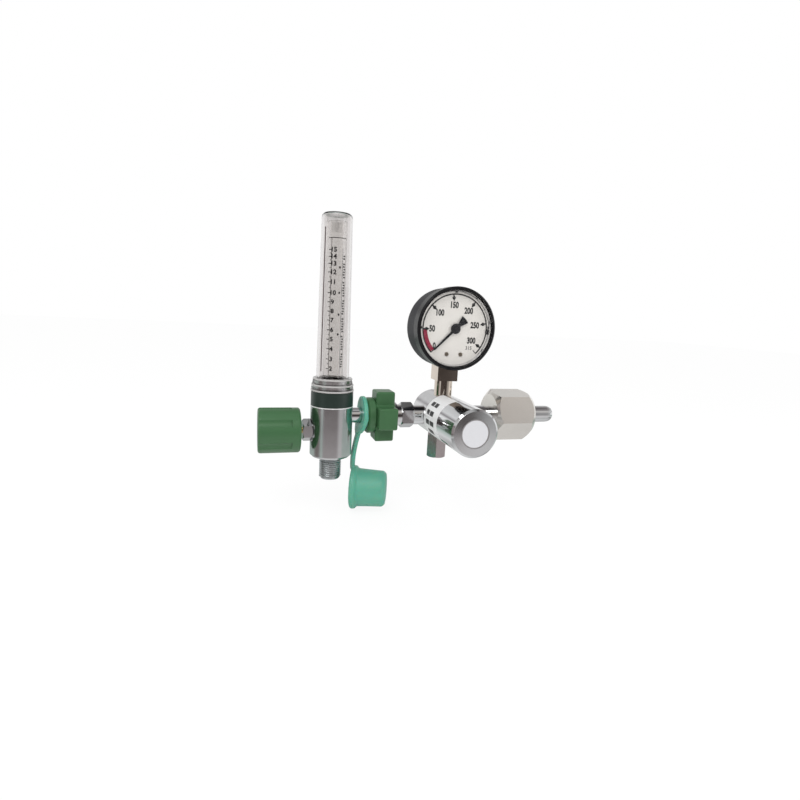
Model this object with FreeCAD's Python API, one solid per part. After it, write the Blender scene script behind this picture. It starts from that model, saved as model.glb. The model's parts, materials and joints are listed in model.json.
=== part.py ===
"""Oxygen regulator with a contents gauge and a tube flowmeter, built as separate named pieces.

Millimetres, +Z up. The origin is on the axis of the inlet nipple, in the middle of its free
straight part. +X runs along the pipe line towards the nipple's free end, and -Y faces the user.
"""

import math
import os

import FreeCAD
import Part

V = FreeCAD.Vector
RIGHT = V(1, 0, 0)
LEFT = V(-1, 0, 0)
BACK = V(0, 1, 0)
UP = V(0, 0, 1)
DOWN = V(0, 0, -1)

# Where the main axes stand
NIPPLE_TO_REGULATOR = 72.4
REGULATOR_TO_FLOWMETER = 75.1
VALVE_DROP = 9.3
GAUGE_RISE = 58.8
GAUGE_STEM_Y = -0.5
RELIEF_Y = 5.0

# Fits shared by all pieces
RUNNING = 0.05
END_PLAY = 0.2
OVERCUT = 1.0
GAS_BORE = 1.9
HEX_CHAMFER = 0.8
SPOT_CLEARANCE = 0.3

# Inlet nipple and its nut
NIPPLE_RADIUS = 5.8
NIPPLE_PIN_LENGTH = 15.0
NOSE_LENGTH = 5.0
NOSE_TIP_RADIUS = 3.2
NOSE_STEPS = 5
STEM_RADIUS = 5.6
SHOULDER_RADIUS = 9.4
SHOULDER_LENGTH = 3.5
BOSS_RADIUS = 6.2
BOSS_REACH = 31.0
NUT_FLATS = 31.6
NUT_LENGTH = 29.0
NUT_FACE_INSET = 1.6
NUT_BACK_BEVEL = 3.0
NUT_FRONT_BEVEL = 4.6
NUT_THREAD_RADIUS = 10.9
NUT_BACK_WALL = 8.0
NUT_TURN = 39.0
FILTER_LENGTH = 7.0

# Regulator body, a bar turned about the Y axis
BODY_RADIUS = 14.7
BODY_BACK = 18.2
BODY_FRONT = -31.0
BODY_EDGE = 0.8
PORT_DEPTH = 9.0
PORT_RADIUS = 5.0
PORT_END_GAP = 0.8
BOSS_SEAT = 13.0
LEDGE_Y = -9.5
BONNET_THREAD_RADIUS = 12.4
CHAMBER_RADIUS = 8.0
CHAMBER_FRONT = -4.0
OUTLET_CHAMBER_RADIUS = 5.0
NOZZLE_FRONT = 3.5
NOZZLE_LENGTH = 2.5
NOZZLE_RADIUS = 5.0
ORIFICE_RADIUS = 1.5
INLET_CHAMBER_RADIUS = 4.0
PASSAGE_RADIUS = 1.1
PASSAGE_MEET_Y = 10.0
PASSAGE_MEET_RADIUS = 3.5
PASSAGE_START = 3.8
RELIEF_PASSAGE_Y = -1.5
PLUG_TO_POPPET = 2.4
PLUG_RADIUS = 6.5
PLUG_RECESS_RADIUS = 3.0
PLUG_RECESS_DEPTH = 3.0
PLUG_SOCKET_FLATS = 6.0
PLUG_SOCKET_DEPTH = 2.6

# Bonnet, piston and springs
BONNET_FRONT = -56.4
BONNET_EDGE = 1.3
BONNET_BORE_RADIUS = 9.6
BONNET_FRONT_WALL = 6.4
DISC_RADIUS = 8.9
DISC_THICKNESS = 0.8
DISC_RECESS = 1.0
PISTON_HEAD_LENGTH = 4.6
PISTON_ROD_RADIUS = 3.0
PISTON_ROD_REACH = 1.5
PISTON_SPIGOT_LENGTH = 2.6
PISTON_STOP_GAP = 0.3
SEAL_WIDTH = 1.6
SEAL_DEPTH = 1.2
SEAL_SQUEEZE_GAP = 0.02
SCREW_RADIUS = 5.0
SCREW_LENGTH = 8.0
SCREW_SOCKET_FLATS = 5.0
SCREW_SOCKET_DEPTH = 3.0
SPRING_PLATE_RADIUS = 8.6
SPRING_PLATE_THICKNESS = 2.4
MAIN_SPRING_RADIUS = 6.9
MAIN_SPRING_WIRE = 1.6
MAIN_SPRING_TURNS = 5
POPPET_RADIUS = 3.1
POPPET_LENGTH = 2.2
POPPET_PIN_RADIUS = 0.9
POPPET_GAP = 1.4
POPPET_SPRING_RADIUS = 2.1
POPPET_SPRING_WIRE = 0.5
POPPET_SPRING_TURNS = 4

# Label that wraps the left side of the body
LABEL_BACK = -7.5
LABEL_FRONT = -30.4
LABEL_THICKNESS = 0.15
LABEL_FROM = 98.0
LABEL_SWEEP = 152.0

# Relief valve under the body
RELIEF_FLATS = 12.6
RELIEF_BOTTOM = 30.5
RELIEF_SPOT_DEPTH = 14.2
RELIEF_THREAD_RADIUS = 4.2
RELIEF_BORE_RADIUS = 3.6
RELIEF_SEAT_WALL = 3.0
RELIEF_POPPET_LENGTH = 2.4
RELIEF_POPPET_GAP = 0.1
RELIEF_PAD_RADIUS = 3.2
RELIEF_SCREW_LENGTH = 3.0
RELIEF_SCREW_RECESS = 2.4
RELIEF_NOTCH = 2.2
RELIEF_SPRING_WIRE = 0.55
RELIEF_SPRING_TURNS = 5
RELIEF_TURN = -9.0

# Outlet fitting on the left of the body
OUTLET_THREAD_RADIUS = 7.14
OUTLET_THREAD_LENGTH = 15.6
OUTLET_HEX_FLATS = 15.0
OUTLET_HEX_LENGTH = 8.3
OUTLET_NECK_RADIUS = 6.5
OUTLET_NECK_REACH = 21.4
OUTLET_SOCKET_RADIUS = 4.6
OUTLET_SOCKET_DEPTH = 8.4

# Flowmeter inlet pipe, wing nut and hanging cap
PIPE_RADIUS = 5.0
PIPE_SEAT = 5.4
PIPE_SHOULDER_STEP = 0.24
PIPE_SHOULDER_LENGTH = 2.3
PIPE_NOSE_PLAY = 0.1
PIPE_NOSE_LENGTH = 7.4
INSERT_WALL = 1.26
INSERT_BACK_WALL = 3.1
INSERT_LENGTH = 18.2
GRIP_FLANGE_WALL = 3.3
GRIP_FLANGE_LENGTH = 4.6
GRIP_CORE_WALL = 2.2
GRIP_OVERHANG = 2.0
GRIP_LENGTH = 18.6
GRIP_END_WALL = 0.8
GRIP_LUG_RADIUS = 16.3
GRIP_LUG_WIDTH = 14.0
GRIP_LUG_LENGTH = 12.4
GRIP_LUG_OFFSET = 5.6
GRIP_LUG_ROUND = 1.2
RING_RADIUS = 12.6
RING_THICKNESS = 3.0
RING_TO_GRIP = 0.4
STRAP_WIDTH = 4.6
STRAP_THICKNESS = 2.2
CAP_DROP = 48.6
CAP_FLANGE_RADIUS = 14.6
CAP_FLANGE_LENGTH = 4.8
CAP_RADIUS = 12.4
CAP_LENGTH = 22.8
CAP_WALL = 2.4
CAP_ROUND = 1.6
CAP_FACE_FROM_BODY = 1.4
CAP_TURN = -19.0

# Flowmeter body with its band
METER_RADIUS = 13.4
METER_BOTTOM = 26.3
METER_SHOULDER = 6.3
METER_EDGE = 1.4
BAND_HEIGHT = 9.6
BAND_THICKNESS = 0.4
NECK_STEP = 2.4
NECK_HEIGHT = 8.0
SIDE_SPOT_DEPTH = 1.0
STUD_RADIUS = 7.14
STUD_LENGTH = 15.1
STUD_CHAMFER = 1.0
STUD_SHANK_RADIUS = 5.0
STUD_SHANK_LENGTH = 6.0

# Metering tube, float and clear cover
TUBE_SEAT_Z = 18.0
TUBE_RADIUS = 6.3
TUBE_LENGTH = 101.0
TUBE_TAPER = 0.85
TUBE_SEAL_HEIGHT = 1.6
TUBE_SEAL_WIDTH = 1.2
FLOAT_RADIUS = 3.1
FLOAT_GAP = 0.15
FLOAT_SEAT_STEP = 0.9
STOP_SPIGOT_LENGTH = 6.0
STOP_HEAD_LENGTH = 3.2
STOP_GAS_RADIUS = 1.2
COVER_FOOT_RADIUS = 10.4
COVER_HEAD_RADIUS = 9.3
COVER_WALL = 1.6
COVER_CROWN_ROUND = 3.0
COLLAR_HEIGHT = 8.6
COLLAR_HEAD_STEP = 1.3
COLLAR_RIM_HEIGHT = 2.0

# Flow control valve and knob, measured from the flowmeter's axis to the left
SEAT_ORIFICE_RADIUS = 1.0
SEAT_INNER = 0.5
SEAT_OUTER = 3.0
GLAND_THREAD_RADIUS = 5.0
GLAND_DEPTH = 5.0
GLAND_LENGTH = 6.1
GLAND_FLATS = 12.6
GLAND_STEP = 1.6
VALVE_STEM_RADIUS = 2.0
STEM_COLLAR_RADIUS = 2.9
STEM_COLLAR_GAP = 0.3
STEM_COLLAR_START = 3.6
STEM_COLLAR_LENGTH = 7.0
STEM_SEAL_WIDTH = 1.5
NEEDLE_TIP_RADIUS = 0.3
KNOB_RADIUS = 14.2
KNOB_LENGTH = 25.8
KNOB_GAP = 1.5
KNOB_ROUND = 1.6
KNOB_BORE_DEPTH = 18.0
FLUTES = 6
FLUTE_DEPTH = 1.0
FLUTE_CUTTER_RADIUS = 4.85
FLUTE_LENGTH = 20.4
FLUTE_ANGLE = 29.0

# Contents gauge
CASE_RADIUS = 25.8
CASE_WALL = 1.2
CASE_BACK = 6.7
CASE_TO_LENS = 0.8
BEZEL_WALL = 0.6
BEZEL_DEPTH = 8.6
BEZEL_LIP_WIDTH = 2.0
BEZEL_LIP_THICKNESS = 1.1
LENS_THICKNESS = 1.2
LENS_TO_POINTER = 0.7
DIAL_THICKNESS = 0.8
DIAL_TO_PLATE = 3.1
DIAL_MARGIN = 0.3
DIAL_HOLE_RADIUS = 1.4
DIAL_SCREW_RADIUS = 1.3
DIAL_SCREW_HEAD = 0.5
DIAL_SCREW_SPREAD = 4.8
DIAL_SCREW_INSET = 8.0
SOCKET_SIZE = 14.0
SOCKET_HEIGHT = 9.0
SOCKET_NECK_RADIUS = 6.0
SOCKET_THREAD_RADIUS = 4.5
HEAD_DEPTH = 9.1
HEAD_RISE = 7.6

# Gauge movement
PIVOT_MARGIN = 10.6
PINION_TEETH = 10
SECTOR_FULL_TEETH = 60
SECTOR_TEETH = 12
PRESSURE_ANGLE = 20.0
PINION_ADDENDUM_RATIO = 0.9
SECTOR_ADDENDUM_RATIO = 0.55
ROOT_CLEARANCE_RATIO = 0.25
BACKLASH_RATIO = 0.175
SPINDLE_RADIUS = 0.8
PIVOT_CLEARANCE = 0.05
GEAR_TO_PLATE = 2.6
SECTOR_THICKNESS = 1.0
PINION_THICKNESS = 1.8
PLATE_SPACING = 5.4
PLATE_THICKNESS = 0.8
PLATE_HALF_WIDTH = 6.6
PLATE_RISE = 9.0
PLATE_MARGIN = 1.15
POST_RADIUS = 1.3
POST_X = 4.6
POST_INSET = 2.4
TAIL_LENGTH = 4.5
TAIL_ANGLE = -30.0
LINK_PIN_RADIUS = 0.5
LINK_EYE_RADIUS = 1.2
BRACKET_REACH = 7.2
BRACKET_DROP = 2.5
LINK_THICKNESS = 0.8
BOURDON_MARGIN = 5.2
BOURDON_WALL_DEPTH = 2.0
BOURDON_WIDTH = 5.6
BOURDON_TIP_ANGLE = -25.0
POINTER_TO_DIAL = 0.7
POINTER_THICKNESS = 0.5
POINTER_REACH = 20.4
POINTER_TAIL = 8.5
POINTER_HALF_WIDTH = 0.9
POINTER_TAIL_HALF_WIDTH = 1.7
POINTER_HUB_RADIUS = 3.1
POINTER_REST_ANGLE = 225.0

# Derived places
regulator_x = -NIPPLE_TO_REGULATOR
flowmeter_x = regulator_x - REGULATOR_TO_FLOWMETER
origin = V(0, 0, 0)
regulator_point = V(regulator_x, 0, 0)
meter_point = V(flowmeter_x, 0, 0)
valve_point = V(flowmeter_x, 0, -VALVE_DROP)
gauge_point = V(regulator_x, 0, GAUGE_RISE)
stem_point = V(regulator_x, GAUGE_STEM_Y, 0)
relief_point = V(regulator_x, RELIEF_Y, 0)

pieces = {}


def turned(steps, start, axis, bore=0.0):
    """Turn a profile of (distance, radius) steps about an axis, leaving a straight bore."""
    outline = [V(bore, 0, steps[0][0])]
    for distance, radius in steps:
        outline.append(V(radius, 0, distance))
    outline.append(V(bore, 0, steps[-1][0]))
    outline.append(outline[0])
    kept = [outline[0]]
    for point in outline[1:]:
        if point.sub(kept[-1]).Length > 1e-6:
            kept.append(point)
    solid = Part.Face(Part.makePolygon(kept)).revolve(origin, UP, 360)
    return laid(solid, start, axis)


def laid(shape, start, axis, turn=0.0):
    """Lay a shape that was built along +Z on a start point and an axis."""
    spin = FreeCAD.Rotation(UP, turn)
    shape.Placement = FreeCAD.Placement(start, FreeCAD.Rotation(UP, axis).multiply(spin))
    return shape


def rod(radius, begin, end, start, axis):
    """A plain cylinder between two distances along an axis."""
    return Part.makeCylinder(radius, end - begin, start + axis * begin, axis)


def hexagon(flats, begin, end, start, axis, turn=0.0):
    """A hexagon bar with both ends turned down to its flats at the corners."""
    corner = flats / math.sqrt(3.0)
    outline = []
    for k in range(7):
        angle = math.radians(60.0 * k)
        outline.append(V(corner * math.cos(angle), corner * math.sin(angle), begin))
    bar = Part.Face(Part.makePolygon(outline)).extrude(V(0, 0, end - begin))
    edge = flats / 2.0
    slope = HEX_CHAMFER
    barrel = [(begin, edge), (begin + slope, corner), (end - slope, corner), (end, edge)]
    return laid(bar.common(turned(barrel, origin, UP)), start, axis, turn)


def socket(flats, begin, end, start, axis):
    """The hexagon hole of a socket screw, as a cutter."""
    corner = flats / math.sqrt(3.0)
    outline = []
    for k in range(7):
        angle = math.radians(60.0 * k)
        outline.append(V(corner * math.cos(angle), corner * math.sin(angle), begin))
    bar = Part.Face(Part.makePolygon(outline)).extrude(V(0, 0, end - begin))
    return laid(bar, start, axis)


def ring(outer, inner, begin, end, start, axis):
    """A flat ring between two distances along an axis."""
    return turned([(begin, outer), (end, outer)], start, axis, inner)


def drilled(first, last, radius):
    """A straight drilled passage between two points, as a cutter."""
    way = last.sub(first)
    length = way.Length
    return Part.makeCylinder(radius, length, first, way)


def coil(radius, wire, turns, begin, end, start, axis):
    """A spring of square wire with flat ground ends, between two distances along an axis."""
    free = end - begin - wire
    helix = Part.makeHelix(free / turns, free, radius)
    half = wire / 2.0
    corners = [V(radius - half, 0, -half), V(radius + half, 0, -half)]
    corners += [V(radius + half, 0, half), V(radius - half, 0, half), V(radius - half, 0, -half)]
    wound = Part.Wire(helix).makePipeShell([Part.makePolygon(corners)], True, True)
    return laid(wound, start + axis * (begin + half), axis)


def round_edges(shape, radius, wanted):
    """Fillet the edges that a test picks."""
    edges = [edge for edge in shape.Edges if wanted(edge)]
    return shape.makeFillet(radius, edges)


def is_circle(edge, radius):
    """True for a full circle of a given radius."""
    curve = edge.Curve
    return isinstance(curve, Part.Circle) and abs(curve.Radius - radius) < 1e-3


# Inlet nipple, filter and nut
pin_half = NIPPLE_PIN_LENGTH / 2.0
nut_front_x = -pin_half - END_PLAY
nut_back_x = nut_front_x - NUT_LENGTH
nut_wall_x = nut_back_x + NUT_BACK_WALL
shoulder_x = nut_wall_x + END_PLAY
boss_end_x = regulator_x + BOSS_REACH
nose_steps = []
for k in range(1, NOSE_STEPS + 1):
    share = k / NOSE_STEPS
    rounding = (1.0 - math.sqrt(1.0 - share * share)) * (NIPPLE_RADIUS - NOSE_TIP_RADIUS)
    nose_steps.append((pin_half + NOSE_LENGTH * share, NIPPLE_RADIUS - rounding))

nipple = turned(
    [
        (regulator_x + PORT_DEPTH, PORT_RADIUS),
        (regulator_x + BOSS_SEAT, PORT_RADIUS),
        (regulator_x + BOSS_SEAT, BOSS_RADIUS),
        (boss_end_x, BOSS_RADIUS),
        (boss_end_x, STEM_RADIUS),
        (shoulder_x, STEM_RADIUS),
        (shoulder_x, SHOULDER_RADIUS),
        (shoulder_x + SHOULDER_LENGTH, SHOULDER_RADIUS),
        (shoulder_x + SHOULDER_LENGTH, NIPPLE_RADIUS + END_PLAY),
        (-pin_half, NIPPLE_RADIUS + END_PLAY),
        (-pin_half, NIPPLE_RADIUS),
        (pin_half, NIPPLE_RADIUS),
        *nose_steps,
    ],
    origin,
    RIGHT,
    GAS_BORE,
)
pieces["inlet_nipple"] = nipple
filter_x = regulator_x + PORT_DEPTH
pieces["inlet_filter"] = rod(GAS_BORE, filter_x, filter_x + FILTER_LENGTH, origin, RIGHT)

nut_corner = NUT_FLATS / math.sqrt(3.0)
nut_face_radius = NUT_FLATS / 2.0 - NUT_FACE_INSET
nut = hexagon(NUT_FLATS, nut_back_x, nut_front_x, origin, RIGHT, NUT_TURN)
nut_barrel = turned(
    [
        (nut_back_x, nut_face_radius),
        (nut_back_x + NUT_BACK_BEVEL, nut_corner),
        (nut_front_x - NUT_FRONT_BEVEL, nut_corner),
        (nut_front_x, nut_face_radius),
    ],
    origin,
    RIGHT,
)
nut = nut.common(nut_barrel)
nut = nut.cut(rod(NUT_THREAD_RADIUS, nut_wall_x, nut_front_x + OVERCUT, origin, RIGHT))
nut_bore = STEM_RADIUS + RUNNING
nut = nut.cut(rod(nut_bore, nut_back_x - OVERCUT, nut_wall_x + OVERCUT, origin, RIGHT))
pieces["inlet_nut"] = nut

# Regulator body
body = turned(
    [
        (BODY_FRONT, BODY_RADIUS),
        (BODY_BACK - BODY_EDGE, BODY_RADIUS),
        (BODY_BACK, BODY_RADIUS - BODY_EDGE),
    ],
    regulator_point,
    BACK,
)
nozzle_back = NOZZLE_FRONT + NOZZLE_LENGTH
poppet_front = nozzle_back + POPPET_GAP
poppet_back = poppet_front + POPPET_LENGTH
plug_front = poppet_back + PLUG_TO_POPPET
port_floor = PORT_DEPTH - PORT_END_GAP
relief_spot_radius = RELIEF_FLATS / math.sqrt(3.0) + SPOT_CLEARANCE
body_cavities = [
    rod(BONNET_THREAD_RADIUS, BODY_FRONT - OVERCUT, LEDGE_Y, regulator_point, BACK),
    rod(CHAMBER_RADIUS, LEDGE_Y - OVERCUT, CHAMBER_FRONT, regulator_point, BACK),
    rod(OUTLET_CHAMBER_RADIUS, CHAMBER_FRONT - OVERCUT, NOZZLE_FRONT, regulator_point, BACK),
    rod(NOZZLE_RADIUS, NOZZLE_FRONT - OVERCUT, nozzle_back, regulator_point, BACK),
    rod(INLET_CHAMBER_RADIUS, nozzle_back - OVERCUT, plug_front + OVERCUT, regulator_point, BACK),
    rod(PLUG_RADIUS, plug_front, BODY_BACK + OVERCUT, regulator_point, BACK),
    rod(PORT_RADIUS, port_floor, BODY_RADIUS + OVERCUT, regulator_point, RIGHT),
    rod(BOSS_RADIUS, BOSS_SEAT, BODY_RADIUS + OVERCUT, regulator_point, RIGHT),
    rod(PORT_RADIUS, port_floor, BODY_RADIUS + OVERCUT, regulator_point, LEFT),
    rod(OUTLET_NECK_RADIUS, BOSS_SEAT, BODY_RADIUS + OVERCUT, regulator_point, LEFT),
    rod(GAS_BORE, 0, PORT_DEPTH + OVERCUT, regulator_point, LEFT),
    rod(SOCKET_THREAD_RADIUS, port_floor, BODY_RADIUS + OVERCUT, stem_point, UP),
    rod(SOCKET_NECK_RADIUS, BOSS_SEAT, BODY_RADIUS + OVERCUT, stem_point, UP),
    rod(RELIEF_THREAD_RADIUS, port_floor, BODY_RADIUS + OVERCUT, relief_point, DOWN),
    rod(relief_spot_radius, RELIEF_SPOT_DEPTH, BODY_RADIUS + OVERCUT, relief_point, DOWN),
]
passage_ends = [
    (
        regulator_point + V(port_floor, PASSAGE_START, 0),
        V(regulator_x + PASSAGE_MEET_RADIUS, PASSAGE_MEET_Y, 0),
    ),
    (stem_point + V(0, PASSAGE_START, port_floor), V(regulator_x, PASSAGE_MEET_Y, PASSAGE_MEET_RADIUS)),
    (relief_point + DOWN * port_floor, V(regulator_x, RELIEF_PASSAGE_Y, 0)),
]
for passage_start, passage_end in passage_ends:
    body_cavities.append(drilled(passage_start, passage_end, PASSAGE_RADIUS))
for cavity in body_cavities:
    body = body.cut(cavity)
pieces["regulator_body"] = body

pieces["seat_nozzle"] = ring(
    NOZZLE_RADIUS, ORIFICE_RADIUS, NOZZLE_FRONT, nozzle_back, regulator_point, BACK
)
plug = turned(
    [(plug_front, PLUG_RADIUS), (BODY_BACK - BODY_EDGE, PLUG_RADIUS), (BODY_BACK, PLUG_RADIUS - BODY_EDGE)],
    regulator_point,
    BACK,
)
recess_back = plug_front + PLUG_RECESS_DEPTH
plug = plug.cut(rod(PLUG_RECESS_RADIUS, plug_front - OVERCUT, recess_back, regulator_point, BACK))
plug = plug.cut(
    socket(PLUG_SOCKET_FLATS, BODY_BACK - PLUG_SOCKET_DEPTH, BODY_BACK + OVERCUT, regulator_point, BACK)
)
pieces["back_plug"] = plug

# Poppet and its spring, on the inlet side of the nozzle
pieces["poppet"] = turned(
    [
        (PISTON_ROD_REACH + RUNNING, POPPET_PIN_RADIUS),
        (poppet_front, POPPET_PIN_RADIUS),
        (poppet_front, POPPET_RADIUS),
        (poppet_back, POPPET_RADIUS),
    ],
    regulator_point,
    BACK,
)
pieces["poppet_spring"] = coil(
    POPPET_SPRING_RADIUS,
    POPPET_SPRING_WIRE,
    POPPET_SPRING_TURNS,
    poppet_back,
    recess_back,
    regulator_point,
    BACK,
)

# Bonnet with the piston, main spring and adjusting screw
bonnet_back = LEDGE_Y
bonnet = turned(
    [
        (BONNET_FRONT, BODY_RADIUS - BONNET_EDGE),
        (BONNET_FRONT + BONNET_EDGE, BODY_RADIUS),
        (BODY_FRONT, BODY_RADIUS),
        (BODY_FRONT, BONNET_THREAD_RADIUS),
        (bonnet_back, BONNET_THREAD_RADIUS),
    ],
    regulator_point,
    BACK,
)
bore_front = BONNET_FRONT + BONNET_FRONT_WALL
disc_back = BONNET_FRONT + DISC_RECESS
bonnet = bonnet.cut(rod(BONNET_BORE_RADIUS, bore_front, bonnet_back + OVERCUT, regulator_point, BACK))
bonnet = bonnet.cut(rod(SCREW_RADIUS, BONNET_FRONT, bore_front + OVERCUT, regulator_point, BACK))
bonnet = bonnet.cut(rod(DISC_RADIUS, BONNET_FRONT - OVERCUT, disc_back, regulator_point, BACK))
pieces["bonnet"] = bonnet
pieces["front_disc"] = rod(DISC_RADIUS, disc_back - DISC_THICKNESS, disc_back, regulator_point, BACK)

spigot_radius = MAIN_SPRING_RADIUS - MAIN_SPRING_WIRE
head_back = LEDGE_Y - PISTON_STOP_GAP
head_front = head_back - PISTON_HEAD_LENGTH
piston_radius = BONNET_BORE_RADIUS - RUNNING
groove_front = (head_front + head_back - SEAL_WIDTH) / 2.0
groove_back = groove_front + SEAL_WIDTH
pieces["piston"] = turned(
    [
        (head_front - PISTON_SPIGOT_LENGTH, spigot_radius),
        (head_front, spigot_radius),
        (head_front, piston_radius),
        (groove_front, piston_radius),
        (groove_front, piston_radius - SEAL_DEPTH),
        (groove_back, piston_radius - SEAL_DEPTH),
        (groove_back, piston_radius),
        (head_back, piston_radius),
        (head_back, PISTON_ROD_RADIUS),
        (PISTON_ROD_REACH, PISTON_ROD_RADIUS),
    ],
    regulator_point,
    BACK,
)
pieces["piston_seal"] = ring(
    BONNET_BORE_RADIUS - SEAL_SQUEEZE_GAP,
    piston_radius - SEAL_DEPTH,
    groove_front,
    groove_back,
    regulator_point,
    BACK,
)
screw_front = disc_back
screw_back = screw_front + SCREW_LENGTH
plate_back = screw_back + SPRING_PLATE_THICKNESS
screw = rod(SCREW_RADIUS, screw_front, screw_back, regulator_point, BACK)
screw = screw.cut(
    socket(
        SCREW_SOCKET_FLATS,
        screw_front - OVERCUT,
        screw_front + SCREW_SOCKET_DEPTH,
        regulator_point,
        BACK,
    )
)
pieces["adjusting_screw"] = screw
pieces["spring_plate"] = turned(
    [
        (screw_back, SPRING_PLATE_RADIUS),
        (plate_back, SPRING_PLATE_RADIUS),
        (plate_back, spigot_radius),
        (plate_back + PISTON_SPIGOT_LENGTH, spigot_radius),
    ],
    regulator_point,
    BACK,
)
pieces["main_spring"] = coil(
    MAIN_SPRING_RADIUS,
    MAIN_SPRING_WIRE,
    MAIN_SPRING_TURNS,
    plate_back,
    head_front,
    regulator_point,
    BACK,
)


def sector_ring(outer, inner, begin, end, from_angle, sweep, start):
    """Part of a ring about the Y axis; angles run from +X towards +Z."""
    outline = [V(inner, begin, 0), V(outer, begin, 0), V(outer, end, 0), V(inner, end, 0), V(inner, begin, 0)]
    solid = Part.Face(Part.makePolygon(outline)).revolve(origin, V(0, -1, 0), sweep)
    solid.rotate(origin, V(0, -1, 0), from_angle)
    solid.translate(start)
    return solid


pieces["body_label"] = sector_ring(
    BODY_RADIUS + LABEL_THICKNESS,
    BODY_RADIUS,
    LABEL_FRONT,
    LABEL_BACK,
    LABEL_FROM,
    LABEL_SWEEP,
    regulator_point,
)

# Relief valve
relief_seat = RELIEF_SPOT_DEPTH + RELIEF_SEAT_WALL
relief_screw_bottom = RELIEF_BOTTOM - RELIEF_SCREW_RECESS
relief_screw_top = relief_screw_bottom - RELIEF_SCREW_LENGTH
relief_poppet_top = relief_seat + RELIEF_POPPET_GAP
relief_poppet_bottom = relief_poppet_top + RELIEF_POPPET_LENGTH
relief = hexagon(RELIEF_FLATS, RELIEF_SPOT_DEPTH, RELIEF_BOTTOM, relief_point, DOWN, RELIEF_TURN)
relief = relief.fuse(rod(RELIEF_THREAD_RADIUS, PORT_DEPTH, RELIEF_SPOT_DEPTH, relief_point, DOWN))
relief = relief.cut(rod(RELIEF_BORE_RADIUS, relief_seat, RELIEF_BOTTOM + OVERCUT, relief_point, DOWN))
relief = relief.cut(rod(ORIFICE_RADIUS, PORT_DEPTH - OVERCUT, relief_seat + OVERCUT, relief_point, DOWN))
notch = Part.makeBox(
    2 * RELIEF_FLATS,
    RELIEF_NOTCH,
    RELIEF_NOTCH,
    V(regulator_x - RELIEF_FLATS, RELIEF_Y - RELIEF_NOTCH / 2.0, -RELIEF_BOTTOM),
)
pieces["relief_body"] = relief.cut(notch).removeSplitter()
pieces["relief_poppet"] = rod(
    RELIEF_PAD_RADIUS, relief_poppet_top, relief_poppet_bottom, relief_point, DOWN
)
pieces["relief_spring"] = coil(
    RELIEF_PAD_RADIUS - RELIEF_SPRING_WIRE,
    RELIEF_SPRING_WIRE,
    RELIEF_SPRING_TURNS,
    relief_poppet_bottom,
    relief_screw_top,
    relief_point,
    DOWN,
)
relief_screw = ring(
    RELIEF_BORE_RADIUS, ORIFICE_RADIUS, relief_screw_top, relief_screw_bottom, relief_point, DOWN
)
pieces["relief_screw"] = relief_screw

# Outlet fitting
outlet_hex_end = OUTLET_NECK_REACH + OUTLET_HEX_LENGTH
outlet_end = outlet_hex_end + OUTLET_THREAD_LENGTH
outlet = turned(
    [
        (PORT_DEPTH, PORT_RADIUS),
        (BOSS_SEAT, PORT_RADIUS),
        (BOSS_SEAT, OUTLET_NECK_RADIUS),
        (outlet_hex_end, OUTLET_NECK_RADIUS),
        (outlet_hex_end, OUTLET_THREAD_RADIUS),
        (outlet_end, OUTLET_THREAD_RADIUS),
    ],
    regulator_point,
    LEFT,
)
outlet = outlet.fuse(hexagon(OUTLET_HEX_FLATS, OUTLET_NECK_REACH, outlet_hex_end, regulator_point, LEFT))
outlet = outlet.cut(rod(GAS_BORE, PORT_DEPTH - OVERCUT, outlet_end, regulator_point, LEFT))
socket_start = outlet_end - OUTLET_SOCKET_DEPTH
outlet = outlet.cut(rod(OUTLET_SOCKET_RADIUS, socket_start, outlet_end + OVERCUT, regulator_point, LEFT))
pieces["outlet_fitting"] = outlet.removeSplitter()

# Flowmeter inlet pipe, measured from the flowmeter's axis to the right
outlet_face = REGULATOR_TO_FLOWMETER - outlet_end
pipe_start = METER_RADIUS - PIPE_SEAT
shoulder_front = outlet_face - END_PLAY
shoulder_back = shoulder_front - PIPE_SHOULDER_LENGTH
nose_end = shoulder_front + PIPE_NOSE_LENGTH
pipe_groove = shoulder_front + PIPE_NOSE_LENGTH / 2.0
pipe_groove_end = pipe_groove + SEAL_WIDTH
pipe_shoulder_radius = OUTLET_THREAD_RADIUS - PIPE_SHOULDER_STEP
pipe_nose_radius = OUTLET_SOCKET_RADIUS - PIPE_NOSE_PLAY
pipe_groove_radius = pipe_nose_radius - SEAL_DEPTH
pieces["meter_inlet_pipe"] = turned(
    [
        (pipe_start, PIPE_RADIUS),
        (shoulder_back, PIPE_RADIUS),
        (shoulder_back, pipe_shoulder_radius),
        (shoulder_front, pipe_shoulder_radius),
        (shoulder_front, pipe_nose_radius),
        (pipe_groove, pipe_nose_radius),
        (pipe_groove, pipe_groove_radius),
        (pipe_groove_end, pipe_groove_radius),
        (pipe_groove_end, pipe_nose_radius),
        (nose_end, pipe_nose_radius),
    ],
    meter_point,
    RIGHT,
    GAS_BORE,
)
pieces["pipe_seal"] = ring(
    OUTLET_SOCKET_RADIUS - SEAL_SQUEEZE_GAP,
    pipe_groove_radius,
    pipe_groove,
    pipe_groove_end,
    meter_point,
    RIGHT,
)

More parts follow.
